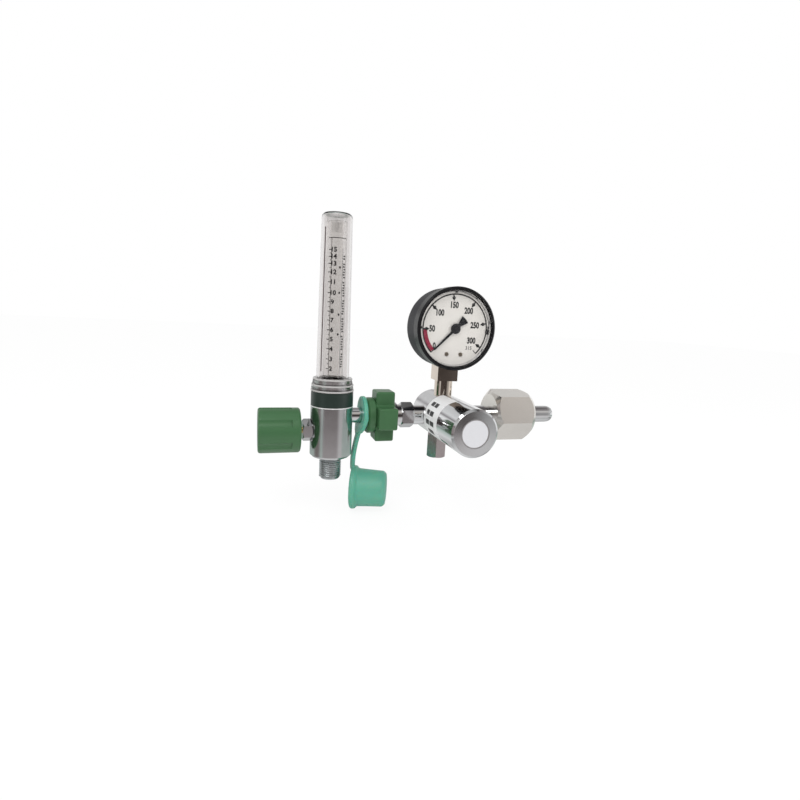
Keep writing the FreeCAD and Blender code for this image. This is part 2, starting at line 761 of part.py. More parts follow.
# Wing nut: a metal insert in a moulded grip
insert_ledge = shoulder_back - END_PLAY
insert_back = insert_ledge - INSERT_BACK_WALL
insert_front = insert_back + INSERT_LENGTH
insert_radius = OUTLET_THREAD_RADIUS + INSERT_WALL
insert = rod(insert_radius, insert_back, insert_front, meter_point, RIGHT)
insert = insert.cut(
    rod(PIPE_RADIUS + RUNNING, insert_back - OVERCUT, insert_ledge + OVERCUT, meter_point, RIGHT)
)
insert_thread = OUTLET_THREAD_RADIUS + RUNNING
insert = insert.cut(rod(insert_thread, insert_ledge, insert_front + OVERCUT, meter_point, RIGHT))
pieces["wing_nut_insert"] = insert

grip_back = insert_back - GRIP_OVERHANG
grip_front = grip_back + GRIP_LENGTH
lug_back = grip_back + GRIP_LUG_OFFSET
lug_front = lug_back + GRIP_LUG_LENGTH
grip_flange_radius = insert_radius + GRIP_FLANGE_WALL
grip_core_radius = insert_radius + GRIP_CORE_WALL
grip_end_radius = insert_radius + GRIP_END_WALL
grip = turned(
    [
        (grip_back, grip_flange_radius - GRIP_LUG_ROUND),
        (grip_back + GRIP_LUG_ROUND, grip_flange_radius),
        (grip_back + GRIP_FLANGE_LENGTH, grip_flange_radius),
        (grip_back + GRIP_FLANGE_LENGTH + GRIP_LUG_ROUND, grip_core_radius),
        (lug_front - GRIP_LUG_ROUND, grip_core_radius),
        (grip_front, grip_end_radius),
    ],
    meter_point,
    RIGHT,
)
lugs = Part.makeBox(
    GRIP_LUG_LENGTH, GRIP_LUG_WIDTH, 2 * GRIP_LUG_RADIUS, V(lug_back, -GRIP_LUG_WIDTH / 2.0, -GRIP_LUG_RADIUS)
)
cross = Part.makeBox(
    GRIP_LUG_LENGTH, 2 * GRIP_LUG_RADIUS, GRIP_LUG_WIDTH, V(lug_back, -GRIP_LUG_RADIUS, -GRIP_LUG_WIDTH / 2.0)
)
lugs = lugs.fuse(cross).removeSplitter()
lugs = lugs.makeFillet(GRIP_LUG_ROUND, lugs.Edges)
lugs.translate(meter_point)
grip = grip.fuse(lugs)
grip = grip.cut(rod(insert_radius, insert_back, grip_front + OVERCUT, meter_point, RIGHT))
grip = grip.cut(rod(PIPE_RADIUS + END_PLAY, grip_back - OVERCUT, insert_back + OVERCUT, meter_point, RIGHT))
pieces["wing_nut_grip"] = grip

# Hanging cap: ring, strap and cup in one soft moulding
ring_front = grip_back - RING_TO_GRIP
ring_back = ring_front - RING_THICKNESS
cap_back = METER_RADIUS + CAP_FACE_FROM_BODY
cap_front = cap_back + CAP_LENGTH
flange_front = cap_back + CAP_FLANGE_LENGTH
cap_point = meter_point + DOWN * CAP_DROP
tether = rod(RING_RADIUS, ring_back, ring_front, meter_point, RIGHT)
tether = tether.cut(rod(PIPE_RADIUS + RUNNING, ring_back - OVERCUT, ring_front + OVERCUT, meter_point, RIGHT))
cup = turned(
    [
        (cap_back, CAP_FLANGE_RADIUS),
        (flange_front - CAP_ROUND, CAP_FLANGE_RADIUS),
        (flange_front, CAP_RADIUS),
        (cap_front, CAP_RADIUS),
    ],
    cap_point,
    RIGHT,
)
cup = round_edges(
    cup,
    CAP_ROUND,
    lambda edge: is_circle(edge, CAP_RADIUS) and edge.CenterOfMass.x > flowmeter_x + flange_front + 1,
)
cup = cup.cut(rod(CAP_RADIUS - CAP_WALL, cap_back - OVERCUT, cap_front - CAP_WALL, cap_point, RIGHT))
cup.rotate(cap_point + RIGHT * cap_back, UP, CAP_TURN)
strap_top = -(RING_RADIUS + PIPE_RADIUS) / 2.0
strap_bottom = -CAP_DROP + CAP_FLANGE_RADIUS - CAP_WALL
strap_start = V(ring_back + RING_THICKNESS / 2.0, 0, strap_top)
strap_end = V(cap_back + STRAP_THICKNESS / 2.0, 0, strap_bottom)
strap_reach = (strap_top - strap_bottom) / 2.0
strap_line = Part.BezierCurve()
strap_line.setPoles(
    [strap_start, strap_start + DOWN * strap_reach, strap_end + UP * strap_reach, strap_end]
)
strap_section = Part.makePolygon(
    [
        strap_start + V(-STRAP_THICKNESS / 2.0, -STRAP_WIDTH / 2.0, 0),
        strap_start + V(STRAP_THICKNESS / 2.0, -STRAP_WIDTH / 2.0, 0),
        strap_start + V(STRAP_THICKNESS / 2.0, STRAP_WIDTH / 2.0, 0),
        strap_start + V(-STRAP_THICKNESS / 2.0, STRAP_WIDTH / 2.0, 0),
        strap_start + V(-STRAP_THICKNESS / 2.0, -STRAP_WIDTH / 2.0, 0),
    ]
)
strap = Part.Wire(strap_line.toShape()).makePipeShell([strap_section], True, False)
strap.translate(meter_point)
pieces["tether_cap"] = tether.fuse(strap).fuse(cup).removeSplitter()

# Flowmeter body, band and lower stud
band_top = METER_SHOULDER + BAND_HEIGHT
neck_radius = METER_RADIUS - NECK_STEP
side_spot = METER_RADIUS - SIDE_SPOT_DEPTH
side_spot_radius = GLAND_FLATS / math.sqrt(3.0) + SPOT_CLEARANCE
valve_chamber_radius = STEM_COLLAR_RADIUS + STEM_COLLAR_GAP
tube_bore_foot = FLOAT_RADIUS + FLOAT_GAP
float_inlet_radius = FLOAT_RADIUS - FLOAT_SEAT_STEP
neck_top = band_top + NECK_HEIGHT
stud_shank_top = -METER_BOTTOM + STUD_SHANK_LENGTH
meter = turned(
    [
        (-METER_BOTTOM, METER_RADIUS - METER_EDGE),
        (-METER_BOTTOM + METER_EDGE, METER_RADIUS),
        (METER_SHOULDER, METER_RADIUS),
        (METER_SHOULDER, METER_RADIUS - BAND_THICKNESS),
        (band_top, METER_RADIUS - BAND_THICKNESS),
        (band_top, neck_radius),
        (neck_top, neck_radius),
    ],
    meter_point,
    UP,
)
gland_inner = side_spot - GLAND_DEPTH
gland_end = side_spot + GLAND_LENGTH
gland_step = side_spot + GLAND_STEP
drill_top = V(flowmeter_x - (TUBE_RADIUS + neck_radius) / 2.0, 0, neck_top + OVERCUT)
drill_bottom = valve_point + LEFT * ((gland_inner + SEAT_OUTER) / 2.0)
tube_seal_bottom = neck_top - TUBE_SEAL_HEIGHT
meter_cavities = [
    rod(TUBE_RADIUS + RUNNING, TUBE_SEAT_Z, neck_top + OVERCUT, meter_point, UP),
    rod(TUBE_RADIUS + TUBE_SEAL_WIDTH, tube_seal_bottom, neck_top + OVERCUT, meter_point, UP),
    rod(float_inlet_radius, 0, TUBE_SEAT_Z + OVERCUT, meter_point, UP),
    rod(GAS_BORE, 0, pipe_start + OVERCUT, meter_point, RIGHT),
    rod(PIPE_RADIUS, pipe_start, METER_RADIUS + OVERCUT, meter_point, RIGHT),
    rod(STUD_SHANK_RADIUS, -METER_BOTTOM - OVERCUT, stud_shank_top, meter_point, UP),
    rod(GAS_BORE, stud_shank_top - OVERCUT, -VALVE_DROP, meter_point, UP),
    rod(SEAT_ORIFICE_RADIUS, 0, SEAT_OUTER + OVERCUT, valve_point, LEFT),
    rod(valve_chamber_radius, SEAT_OUTER, METER_RADIUS, valve_point, LEFT),
    rod(GLAND_THREAD_RADIUS, gland_inner, METER_RADIUS, valve_point, LEFT),
    rod(side_spot_radius, side_spot, METER_RADIUS + OVERCUT, valve_point, LEFT),
    drilled(drill_top, drill_bottom, SEAT_ORIFICE_RADIUS),
]
for cavity in meter_cavities:
    meter = meter.cut(cavity)
pieces["meter_body"] = meter
pieces["meter_band"] = ring(
    METER_RADIUS, METER_RADIUS - BAND_THICKNESS, METER_SHOULDER, band_top, meter_point, UP
)
stud_bottom = -METER_BOTTOM - STUD_LENGTH
pieces["outlet_stud"] = turned(
    [
        (stud_bottom, STUD_RADIUS - STUD_CHAMFER),
        (stud_bottom + STUD_CHAMFER, STUD_RADIUS),
        (-METER_BOTTOM, STUD_RADIUS),
        (-METER_BOTTOM, STUD_SHANK_RADIUS),
        (stud_shank_top, STUD_SHANK_RADIUS),
    ],
    meter_point,
    UP,
    GAS_BORE,
)

# Metering tube, float, stop, seal and clear cover
tube_top = TUBE_SEAT_Z + TUBE_LENGTH
tube = rod(TUBE_RADIUS, TUBE_SEAT_Z, tube_top, meter_point, UP)
tube_bore = turned(
    [(TUBE_SEAT_Z, tube_bore_foot), (tube_top, tube_bore_foot + TUBE_TAPER)], meter_point, UP
)
tube = tube.cut(tube_bore)
pieces["metering_tube"] = tube
pieces["tube_seal"] = ring(
    TUBE_RADIUS + TUBE_SEAL_WIDTH, TUBE_RADIUS, tube_seal_bottom, neck_top, meter_point, UP
)
float_height = math.sqrt(FLOAT_RADIUS**2 - float_inlet_radius**2)
float_z = TUBE_SEAT_Z + float_height + RUNNING
pieces["float_ball"] = Part.makeSphere(FLOAT_RADIUS, meter_point + UP * float_z)
stop_top = tube_top + STOP_HEAD_LENGTH
cover_inner_top = stop_top + END_PLAY
cover_top = cover_inner_top + COVER_WALL
pieces["float_stop"] = turned(
    [
        (tube_top - STOP_SPIGOT_LENGTH, tube_bore_foot),
        (tube_top, tube_bore_foot),
        (tube_top, TUBE_RADIUS),
        (stop_top, TUBE_RADIUS),
    ],
    meter_point,
    UP,
    STOP_GAS_RADIUS,
)
collar_top = band_top + COLLAR_HEIGHT
cover = turned(
    [
        (band_top, METER_RADIUS),
        (band_top + COLLAR_RIM_HEIGHT, METER_RADIUS),
        (collar_top, METER_RADIUS - COLLAR_HEAD_STEP),
        (collar_top, COVER_FOOT_RADIUS),
        (cover_top, COVER_HEAD_RADIUS),
    ],
    meter_point,
    UP,
)
cover = round_edges(cover, COVER_CROWN_ROUND, lambda edge: is_circle(edge, COVER_HEAD_RADIUS))
cover = cover.cut(rod(neck_radius, band_top - OVERCUT, neck_top + END_PLAY, meter_point, UP))
cover_bore = turned(
    [
        (neck_top, COVER_FOOT_RADIUS - COVER_WALL),
        (cover_inner_top, COVER_HEAD_RADIUS - COVER_WALL),
    ],
    meter_point,
    UP,
)
pieces["tube_cover"] = cover.cut(cover_bore)

# Flow control valve
stem_end = gland_end + KNOB_GAP + KNOB_BORE_DEPTH
collar_end = STEM_COLLAR_START + STEM_COLLAR_LENGTH
stem_seal_end = collar_end + STEM_SEAL_WIDTH
gland = turned(
    [
        (gland_inner, GLAND_THREAD_RADIUS),
        (side_spot, GLAND_THREAD_RADIUS),
    ],
    valve_point,
    LEFT,
)
gland = gland.fuse(hexagon(GLAND_FLATS, side_spot, gland_end, valve_point, LEFT))
gland = gland.cut(rod(valve_chamber_radius, gland_inner - OVERCUT, gland_step, valve_point, LEFT))
gland = gland.cut(
    rod(VALVE_STEM_RADIUS + RUNNING, gland_step - OVERCUT, gland_end + OVERCUT, valve_point, LEFT)
)
pieces["valve_gland"] = gland.removeSplitter()
pieces["valve_stem"] = turned(
    [
        (SEAT_INNER, NEEDLE_TIP_RADIUS),
        (SEAT_OUTER, SEAT_ORIFICE_RADIUS - RUNNING),
        (STEM_COLLAR_START, VALVE_STEM_RADIUS),
        (STEM_COLLAR_START, STEM_COLLAR_RADIUS),
        (collar_end, STEM_COLLAR_RADIUS),
        (collar_end, VALVE_STEM_RADIUS),
        (stem_end, VALVE_STEM_RADIUS),
    ],
    valve_point,
    LEFT,
)
pieces["stem_seal"] = ring(
    valve_chamber_radius - SEAL_SQUEEZE_GAP,
    VALVE_STEM_RADIUS + SEAL_SQUEEZE_GAP,
    collar_end + SEAL_SQUEEZE_GAP,
    stem_seal_end,
    valve_point,
    LEFT,
)
knob_start = gland_end + KNOB_GAP
knob_end = knob_start + KNOB_LENGTH
knob = rod(KNOB_RADIUS, knob_start, knob_end, valve_point, LEFT)
knob = round_edges(knob, KNOB_ROUND, lambda edge: is_circle(edge, KNOB_RADIUS))
flute_centre = KNOB_RADIUS - FLUTE_DEPTH + FLUTE_CUTTER_RADIUS
for k in range(FLUTES):
    angle = math.radians(FLUTE_ANGLE + 360.0 * k / FLUTES)
    flute_point = valve_point + V(0, -flute_centre * math.cos(angle), flute_centre * math.sin(angle))
    knob = knob.cut(rod(FLUTE_CUTTER_RADIUS, knob_end - FLUTE_LENGTH, knob_end + OVERCUT, flute_point, LEFT))
knob = knob.cut(rod(VALVE_STEM_RADIUS, knob_start - OVERCUT, stem_end, valve_point, LEFT))
pieces["flow_knob"] = knob

# Depths of the gauge, built up from the back wall towards the lens
case_inner = CASE_RADIUS - CASE_WALL
bezel_radius = CASE_RADIUS + BEZEL_WALL
bezel_lip_radius = bezel_radius - BEZEL_LIP_WIDTH
lens_radius = bezel_radius - BEZEL_LIP_WIDTH / 2.0
dial_radius = case_inner - DIAL_MARGIN
case_floor = CASE_BACK - CASE_WALL
head_front = case_floor - HEAD_DEPTH
back_plate_end = head_front
back_plate_y = back_plate_end - PLATE_THICKNESS
front_plate_end = back_plate_y - PLATE_SPACING
front_plate_y = front_plate_end - PLATE_THICKNESS
dial_back = front_plate_y - DIAL_TO_PLATE
dial_front = dial_back - DIAL_THICKNESS
pointer_back = dial_front - POINTER_TO_DIAL
pointer_front = pointer_back - POINTER_THICKNESS
lens_back = pointer_front - LENS_TO_POINTER
lens_front = lens_back - LENS_THICKNESS
bezel_front = lens_front - BEZEL_LIP_THICKNESS
bezel_back = bezel_front + BEZEL_DEPTH
case_front = lens_back + CASE_TO_LENS

# Gauge case, bezel, lens and dial
case = rod(CASE_RADIUS, case_front, CASE_BACK, gauge_point, BACK)
case = round_edges(
    case, CASE_WALL, lambda edge: is_circle(edge, CASE_RADIUS) and edge.CenterOfMass.y > 0
)
case = case.cut(rod(case_inner, case_front - OVERCUT, case_floor, gauge_point, BACK))
socket_half = SOCKET_SIZE / 2.0
socket_bottom = GAUGE_RISE - CASE_RADIUS - SOCKET_HEIGHT
head_top = GAUGE_RISE - case_inner + HEAD_RISE
case_mouth = Part.makeBox(
    SOCKET_SIZE,
    SOCKET_SIZE,
    CASE_RADIUS,
    V(regulator_x - socket_half, GAUGE_STEM_Y - socket_half, socket_bottom),
)
case_room = rod(CASE_RADIUS + OVERCUT, case_front, case_floor, gauge_point, BACK)
pieces["gauge_case"] = case.cut(case_mouth.common(case_room))
bezel = turned(
    [
        (bezel_front, bezel_radius - BEZEL_LIP_THICKNESS),
        (bezel_front + BEZEL_LIP_THICKNESS, bezel_radius),
        (bezel_back, bezel_radius),
    ],
    gauge_point,
    BACK,
)
bezel = bezel.cut(rod(CASE_RADIUS, case_front, bezel_back + OVERCUT, gauge_point, BACK))
bezel = bezel.cut(rod(lens_radius, lens_front, case_front + OVERCUT, gauge_point, BACK))
bezel = bezel.cut(rod(bezel_lip_radius, bezel_front - OVERCUT, lens_front + OVERCUT, gauge_point, BACK))
pieces["gauge_bezel"] = bezel
pieces["gauge_lens"] = rod(lens_radius, lens_front, lens_back, gauge_point, BACK)
dial = ring(dial_radius, DIAL_HOLE_RADIUS, dial_front, dial_back, gauge_point, BACK)
for side, name in ((-1, "left"), (1, "right")):
    screw_point = gauge_point + V(side * DIAL_SCREW_SPREAD, 0, DIAL_SCREW_INSET - dial_radius)
    shank = rod(DIAL_SCREW_RADIUS / 2.0, dial_front, front_plate_y, screw_point, BACK)
    dial = dial.cut(shank)
    screw_head = rod(DIAL_SCREW_RADIUS, dial_front - DIAL_SCREW_HEAD, dial_front, screw_point, BACK)
    pieces["dial_screw_" + name] = screw_head.fuse(shank)
pieces["gauge_dial"] = dial

# Gauge socket: wrench square, threaded stem and the head that carries the movement
gauge_socket = Part.makeBox(
    SOCKET_SIZE,
    SOCKET_SIZE,
    SOCKET_HEIGHT + CASE_WALL,
    V(regulator_x - socket_half, GAUGE_STEM_Y - socket_half, socket_bottom),
)
socket_head = Part.makeBox(
    SOCKET_SIZE,
    HEAD_DEPTH,
    HEAD_RISE,
    V(regulator_x - socket_half, head_front, head_top - HEAD_RISE),
)
gauge_socket = gauge_socket.common(rod(CASE_RADIUS * 2, case_front, case_floor, gauge_point, BACK))
gauge_socket = gauge_socket.fuse(socket_head)
gauge_socket = gauge_socket.fuse(rod(SOCKET_NECK_RADIUS, BOSS_SEAT, socket_bottom, stem_point, UP))
gauge_socket = gauge_socket.fuse(rod(SOCKET_THREAD_RADIUS, PORT_DEPTH, BOSS_SEAT, stem_point, UP))
gauge_socket = gauge_socket.cut(
    rod(PASSAGE_RADIUS, PORT_DEPTH - OVERCUT, head_top - HEAD_RISE / 2.0, stem_point, UP)
)
pieces["gauge_socket"] = gauge_socket.removeSplitter()


# Tooth sizes, from the room between the spindle and the case
module = 2.0 * (case_inner - PIVOT_MARGIN) / (PINION_TEETH + SECTOR_FULL_TEETH)
pinion_addendum = module * PINION_ADDENDUM_RATIO
sector_addendum = module * SECTOR_ADDENDUM_RATIO
root_clearance = module * ROOT_CLEARANCE_RATIO


def flank_half_angle(radius, pitch_radius, teeth):
    """Half the angle a tooth takes at a radius, on an involute flank."""
    pressure = math.radians(PRESSURE_ANGLE)
    base = pitch_radius * math.cos(pressure)
    at_pitch = module * (math.pi / 2.0 - BACKLASH_RATIO) / (2.0 * pitch_radius)
    roll = math.acos(min(1.0, base / radius))
    return at_pitch + (math.tan(pressure) - pressure) - (math.tan(roll) - roll)


def toothed(teeth, full_teeth, addendum, dedendum, middle, first):
    """Outline points of a run of teeth; angles run from +X towards +Z."""
    pitch_radius = module * full_teeth / 2.0
    tip = pitch_radius + addendum
    root = pitch_radius - dedendum
    base = pitch_radius * math.cos(math.radians(PRESSURE_ANGLE))
    low = max(root, base)
    radii = [root, low, (low * 2 + tip) / 3.0, (low + tip * 2) / 3.0, tip]
    points = []
    for k in range(teeth):
        centre = first + 2.0 * math.pi * k / full_teeth
        for radius in radii:
            angle = centre - flank_half_angle(max(radius, base), pitch_radius, full_teeth)
            points.append(middle + V(radius * math.cos(angle), 0, radius * math.sin(angle)))
        for radius in reversed(radii):
            angle = centre + flank_half_angle(max(radius, base), pitch_radius, full_teeth)
            points.append(middle + V(radius * math.cos(angle), 0, radius * math.sin(angle)))
    return points


def plate(points, front, thickness):
    """A flat piece from an outline in the XZ plane, between two Y values."""
    outline = []
    for point in points + [points[0]]:
        if not outline or point.sub(outline[-1]).Length > 1e-6:
            outline.append(V(point.x, front, point.z))
    return Part.Face(Part.makePolygon(outline)).extrude(V(0, thickness, 0))


# Gauge movement: pinion and pointer on one spindle, driven by the sector
gear_front = back_plate_y - GEAR_TO_PLATE - SECTOR_THICKNESS
pinion_pitch = module * PINION_TEETH / 2.0
sector_pitch = module * SECTOR_FULL_TEETH / 2.0
pivot_point = gauge_point + DOWN * (pinion_pitch + sector_pitch)
pinion_first = math.radians(-90.0 + 180.0 / PINION_TEETH)
pinion_points = toothed(
    PINION_TEETH,
    PINION_TEETH,
    pinion_addendum,
    sector_addendum + root_clearance,
    gauge_point,
    pinion_first,
)
pinion_front = gear_front + (SECTOR_THICKNESS - PINION_THICKNESS) / 2.0
pinion = plate(pinion_points, pinion_front, PINION_THICKNESS)
pinion = pinion.fuse(rod(SPINDLE_RADIUS, pointer_front, back_plate_end, gauge_point, BACK))
pieces["gauge_pinion"] = pinion

pointer_angle = math.radians(POINTER_REST_ANGLE)
ahead = V(math.cos(pointer_angle), 0, math.sin(pointer_angle))
aside = V(-math.sin(pointer_angle), 0, math.cos(pointer_angle))
pointer = plate(
    [
        gauge_point + ahead * POINTER_REACH,
        gauge_point + aside * POINTER_HALF_WIDTH,
        gauge_point - ahead * POINTER_TAIL + aside * POINTER_TAIL_HALF_WIDTH,
        gauge_point - ahead * POINTER_TAIL - aside * POINTER_TAIL_HALF_WIDTH,
        gauge_point - aside * POINTER_HALF_WIDTH,
    ],
    pointer_front,
    POINTER_THICKNESS,
)
pointer = pointer.fuse(rod(POINTER_HUB_RADIUS, pointer_front, pointer_back, gauge_point, BACK))
pieces["gauge_pointer"] = pointer.cut(rod(SPINDLE_RADIUS, pointer_front, pointer_back, gauge_point, BACK))

sector_root = sector_pitch - pinion_addendum - root_clearance
sector_step = 2.0 * math.pi / SECTOR_FULL_TEETH
teeth_before = 2
sector_first = math.pi / 2.0 - (SECTOR_TEETH - 1 - teeth_before) * sector_step
sector_points = toothed(
    SECTOR_TEETH,
    SECTOR_FULL_TEETH,
    sector_addendum,
    pinion_addendum + root_clearance,
    pivot_point,
    sector_first,
)
sector_middle = (sector_first + math.pi / 2.0 + teeth_before * sector_step) / 2.0
rim_half = SECTOR_TEETH * sector_step / 2.0
rim_inner = sector_root - TAIL_LENGTH / 2.0
rim_points = []
for k in range(5):
    angle = sector_middle + rim_half * (1.0 - k / 2.0)
    rim_points.append(pivot_point + V(rim_inner * math.cos(angle), 0, rim_inner * math.sin(angle)))
sector = plate(sector_points + rim_points, gear_front, SECTOR_THICKNESS)
arm_way = V(math.cos(sector_middle), 0, math.sin(sector_middle))
arm_side = V(-math.sin(sector_middle), 0, math.cos(sector_middle))
arm_half = LINK_EYE_RADIUS
arm_reach = (rim_inner + sector_root) / 2.0
arm = plate(
    [
        pivot_point + arm_side * arm_half,
        pivot_point + arm_way * arm_reach + arm_side * arm_half * 2,
        pivot_point + arm_way * arm_reach - arm_side * arm_half * 2,
        pivot_point - arm_side * arm_half,
    ],
    gear_front,
    SECTOR_THICKNESS,
)
tail_angle = math.radians(TAIL_ANGLE)
tail_way = V(math.cos(tail_angle), 0, math.sin(tail_angle))
tail_side = V(-math.sin(tail_angle), 0, math.cos(tail_angle))
tail_point = pivot_point + tail_way * TAIL_LENGTH
tail = plate(
    [
        pivot_point + tail_side * arm_half,
        tail_point + tail_side * arm_half,
        tail_point - tail_side * arm_half,
        pivot_point - tail_side * arm_half,
    ],
    gear_front,
    SECTOR_THICKNESS,
)
gear_back = gear_front + SECTOR_THICKNESS
sector = sector.fuse(arm).fuse(tail)
sector = sector.fuse(rod(LINK_EYE_RADIUS * 1.6, gear_front, gear_back, pivot_point, BACK))
sector = sector.fuse(rod(LINK_EYE_RADIUS, gear_front, gear_back, tail_point, BACK))
sector = sector.fuse(rod(SPINDLE_RADIUS, front_plate_y, back_plate_end, pivot_point, BACK))
eye_radius = LINK_PIN_RADIUS + PIVOT_CLEARANCE
sector = sector.cut(rod(eye_radius, gear_front - OVERCUT, gear_back + OVERCUT, tail_point, BACK))
pieces["sector_gear"] = sector.removeSplitter()

# Link from the sector's tail to the tip of the pressure tube
link_front = gear_back + PIVOT_CLEARANCE
link_back = link_front + LINK_THICKNESS
bourdon_radius = case_inner - BOURDON_MARGIN
tip_angle = math.radians(BOURDON_TIP_ANGLE)
tube_tip = gauge_point + V(bourdon_radius * math.cos(tip_angle), 0, bourdon_radius * math.sin(tip_angle))
tip_point = tube_tip - V(BRACKET_REACH, 0, BRACKET_DROP)
link_way = tip_point.sub(tail_point)
link_way.normalize()
link_side = V(-link_way.z, 0, link_way.x)
link = plate(
    [
        tail_point + link_side * LINK_PIN_RADIUS,
        tip_point + link_side * LINK_PIN_RADIUS,
        tip_point - link_side * LINK_PIN_RADIUS,
        tail_point - link_side * LINK_PIN_RADIUS,
    ],
    link_front,
    LINK_THICKNESS,
)
for eye_point in (tail_point, tip_point):
    link = link.fuse(rod(LINK_EYE_RADIUS, link_front, link_back, eye_point, BACK))
link = link.fuse(rod(LINK_PIN_RADIUS, gear_front, link_front, tail_point, BACK))
link = link.cut(rod(eye_radius, link_front - OVERCUT, link_back + OVERCUT, tip_point, BACK))
pieces["gauge_link"] = link.removeSplitter()

# Pressure tube, bent round from the head to its free tip
bourdon_outer = bourdon_radius + BOURDON_WALL_DEPTH / 2.0
bourdon_inner = bourdon_radius - BOURDON_WALL_DEPTH / 2.0
bourdon_front = (head_front + case_floor - BOURDON_WIDTH) / 2.0
bourdon_back = bourdon_front + BOURDON_WIDTH
foot_angle = 180.0 + math.degrees(math.acos(socket_half / bourdon_inner))
bourdon = sector_ring(
    bourdon_outer,
    bourdon_inner,
    bourdon_front,
    bourdon_back,
    BOURDON_TIP_ANGLE,
    foot_angle - BOURDON_TIP_ANGLE,
    gauge_point,
)
bourdon = bourdon.cut(
    Part.makeBox(
        SOCKET_SIZE,
        SOCKET_SIZE * 2,
        CASE_RADIUS,
        V(regulator_x - socket_half, -SOCKET_SIZE, head_top - CASE_RADIUS),
    )
)
bracket_front = link_back + PIVOT_CLEARANCE
bracket_side = V(0, 0, LINK_EYE_RADIUS)
bracket = plate(
    [
        tube_tip + bracket_side,
        tube_tip - bracket_side * 1.5,
        tip_point - bracket_side,
        tip_point + bracket_side,
    ],
    bracket_front,
    bourdon_front + LINK_THICKNESS - bracket_front,
)
bracket = bracket.fuse(
    rod(LINK_EYE_RADIUS, bracket_front, bourdon_front + LINK_THICKNESS, tip_point, BACK)
)
bracket = bracket.fuse(rod(LINK_PIN_RADIUS, link_front, bracket_front, tip_point, BACK))
pieces["bourdon_tube"] = bourdon.fuse(bracket).removeSplitter()

# Movement plates and their posts
plate_drop = math.sqrt((case_inner - PLATE_MARGIN) ** 2 - PLATE_HALF_WIDTH**2)
plate_outline = [
    gauge_point + V(-PLATE_HALF_WIDTH, 0, PLATE_RISE),
    gauge_point + V(PLATE_HALF_WIDTH, 0, PLATE_RISE),
    gauge_point + V(PLATE_HALF_WIDTH, 0, -plate_drop),
    gauge_point + V(-PLATE_HALF_WIDTH, 0, -plate_drop),
]
for name, plate_y in (("front", front_plate_y), ("back", back_plate_y)):
    movement_plate = plate(plate_outline, plate_y, PLATE_THICKNESS)
    for centre in (gauge_point, pivot_point):
        hole = rod(
            SPINDLE_RADIUS + PIVOT_CLEARANCE,
            plate_y - OVERCUT,
            plate_y + PLATE_THICKNESS + OVERCUT,
            centre,
            BACK,
        )
        movement_plate = movement_plate.cut(hole)
    pieces["movement_plate_" + name] = movement_plate
post_number = 0
for post_z in (PLATE_RISE - POST_INSET, POST_INSET - plate_drop):
    for side in (-1, 1):
        post_number += 1
        post_point = gauge_point + V(side * POST_X, 0, post_z)
        pieces["movement_post_%d" % post_number] = rod(
            POST_RADIUS, front_plate_end, back_plate_y, post_point, BACK
        )

os.makedirs("parts", exist_ok=True)
for name, shape in pieces.items():
    shape.exportStep("parts/%s.step" % name)
print(len(pieces), "pieces written")
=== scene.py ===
# %% [markdown]
# # An oxygen regulator with a contents gauge and a tube flowmeter
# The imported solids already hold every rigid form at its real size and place. This lesson adds
# what only looks can give: plated metal that mirrors its room, moulded plastic, clear tubes,
# cut threads and the printed scales. Sizes are in metres, so MM turns millimetres into them.

# %% Load the fixed frame
import json
import math

import bmesh
import bpy
from mathutils import Matrix, Vector


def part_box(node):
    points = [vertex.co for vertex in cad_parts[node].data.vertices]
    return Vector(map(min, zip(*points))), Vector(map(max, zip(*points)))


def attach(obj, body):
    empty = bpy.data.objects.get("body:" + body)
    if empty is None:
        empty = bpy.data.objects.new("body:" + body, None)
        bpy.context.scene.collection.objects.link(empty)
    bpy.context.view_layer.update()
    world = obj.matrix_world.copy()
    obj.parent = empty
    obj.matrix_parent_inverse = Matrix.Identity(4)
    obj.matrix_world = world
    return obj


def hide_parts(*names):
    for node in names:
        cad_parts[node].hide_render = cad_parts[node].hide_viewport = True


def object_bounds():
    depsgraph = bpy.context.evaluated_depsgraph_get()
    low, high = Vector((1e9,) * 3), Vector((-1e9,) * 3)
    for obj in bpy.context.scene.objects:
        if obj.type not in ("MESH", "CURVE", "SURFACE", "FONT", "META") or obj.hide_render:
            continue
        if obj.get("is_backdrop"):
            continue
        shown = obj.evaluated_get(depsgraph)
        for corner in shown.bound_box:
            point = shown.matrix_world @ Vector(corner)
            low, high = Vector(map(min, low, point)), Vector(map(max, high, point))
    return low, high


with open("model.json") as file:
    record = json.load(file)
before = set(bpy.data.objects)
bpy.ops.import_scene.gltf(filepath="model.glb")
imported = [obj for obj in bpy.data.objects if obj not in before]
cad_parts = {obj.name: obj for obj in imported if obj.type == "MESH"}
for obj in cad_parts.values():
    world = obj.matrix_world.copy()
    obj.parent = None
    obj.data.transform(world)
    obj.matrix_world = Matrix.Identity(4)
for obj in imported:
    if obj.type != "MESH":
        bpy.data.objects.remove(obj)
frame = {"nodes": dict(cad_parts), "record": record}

MM = 0.001
cad_low, cad_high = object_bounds()
nodes = frame["nodes"]
slot_of = {part["node"]: part["material_slot"] for part in frame["record"]["subparts"]}
regulator_x = sum(corner.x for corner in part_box("bonnet")) / 2.0
meter_x = sum(corner.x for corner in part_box("meter_body")) / 2.0
gauge_z = sum(corner.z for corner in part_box("gauge_dial")) / 2.0
print("regulator at", round(regulator_x, 4), "flowmeter at", round(meter_x, 4))

# %% [markdown]
# ## The camera
# The viewpoint was worked out from the photograph: a little to the left of the flowmeter, a
# little above it, and turned to the right. Three turned axes and one place are all it needs.

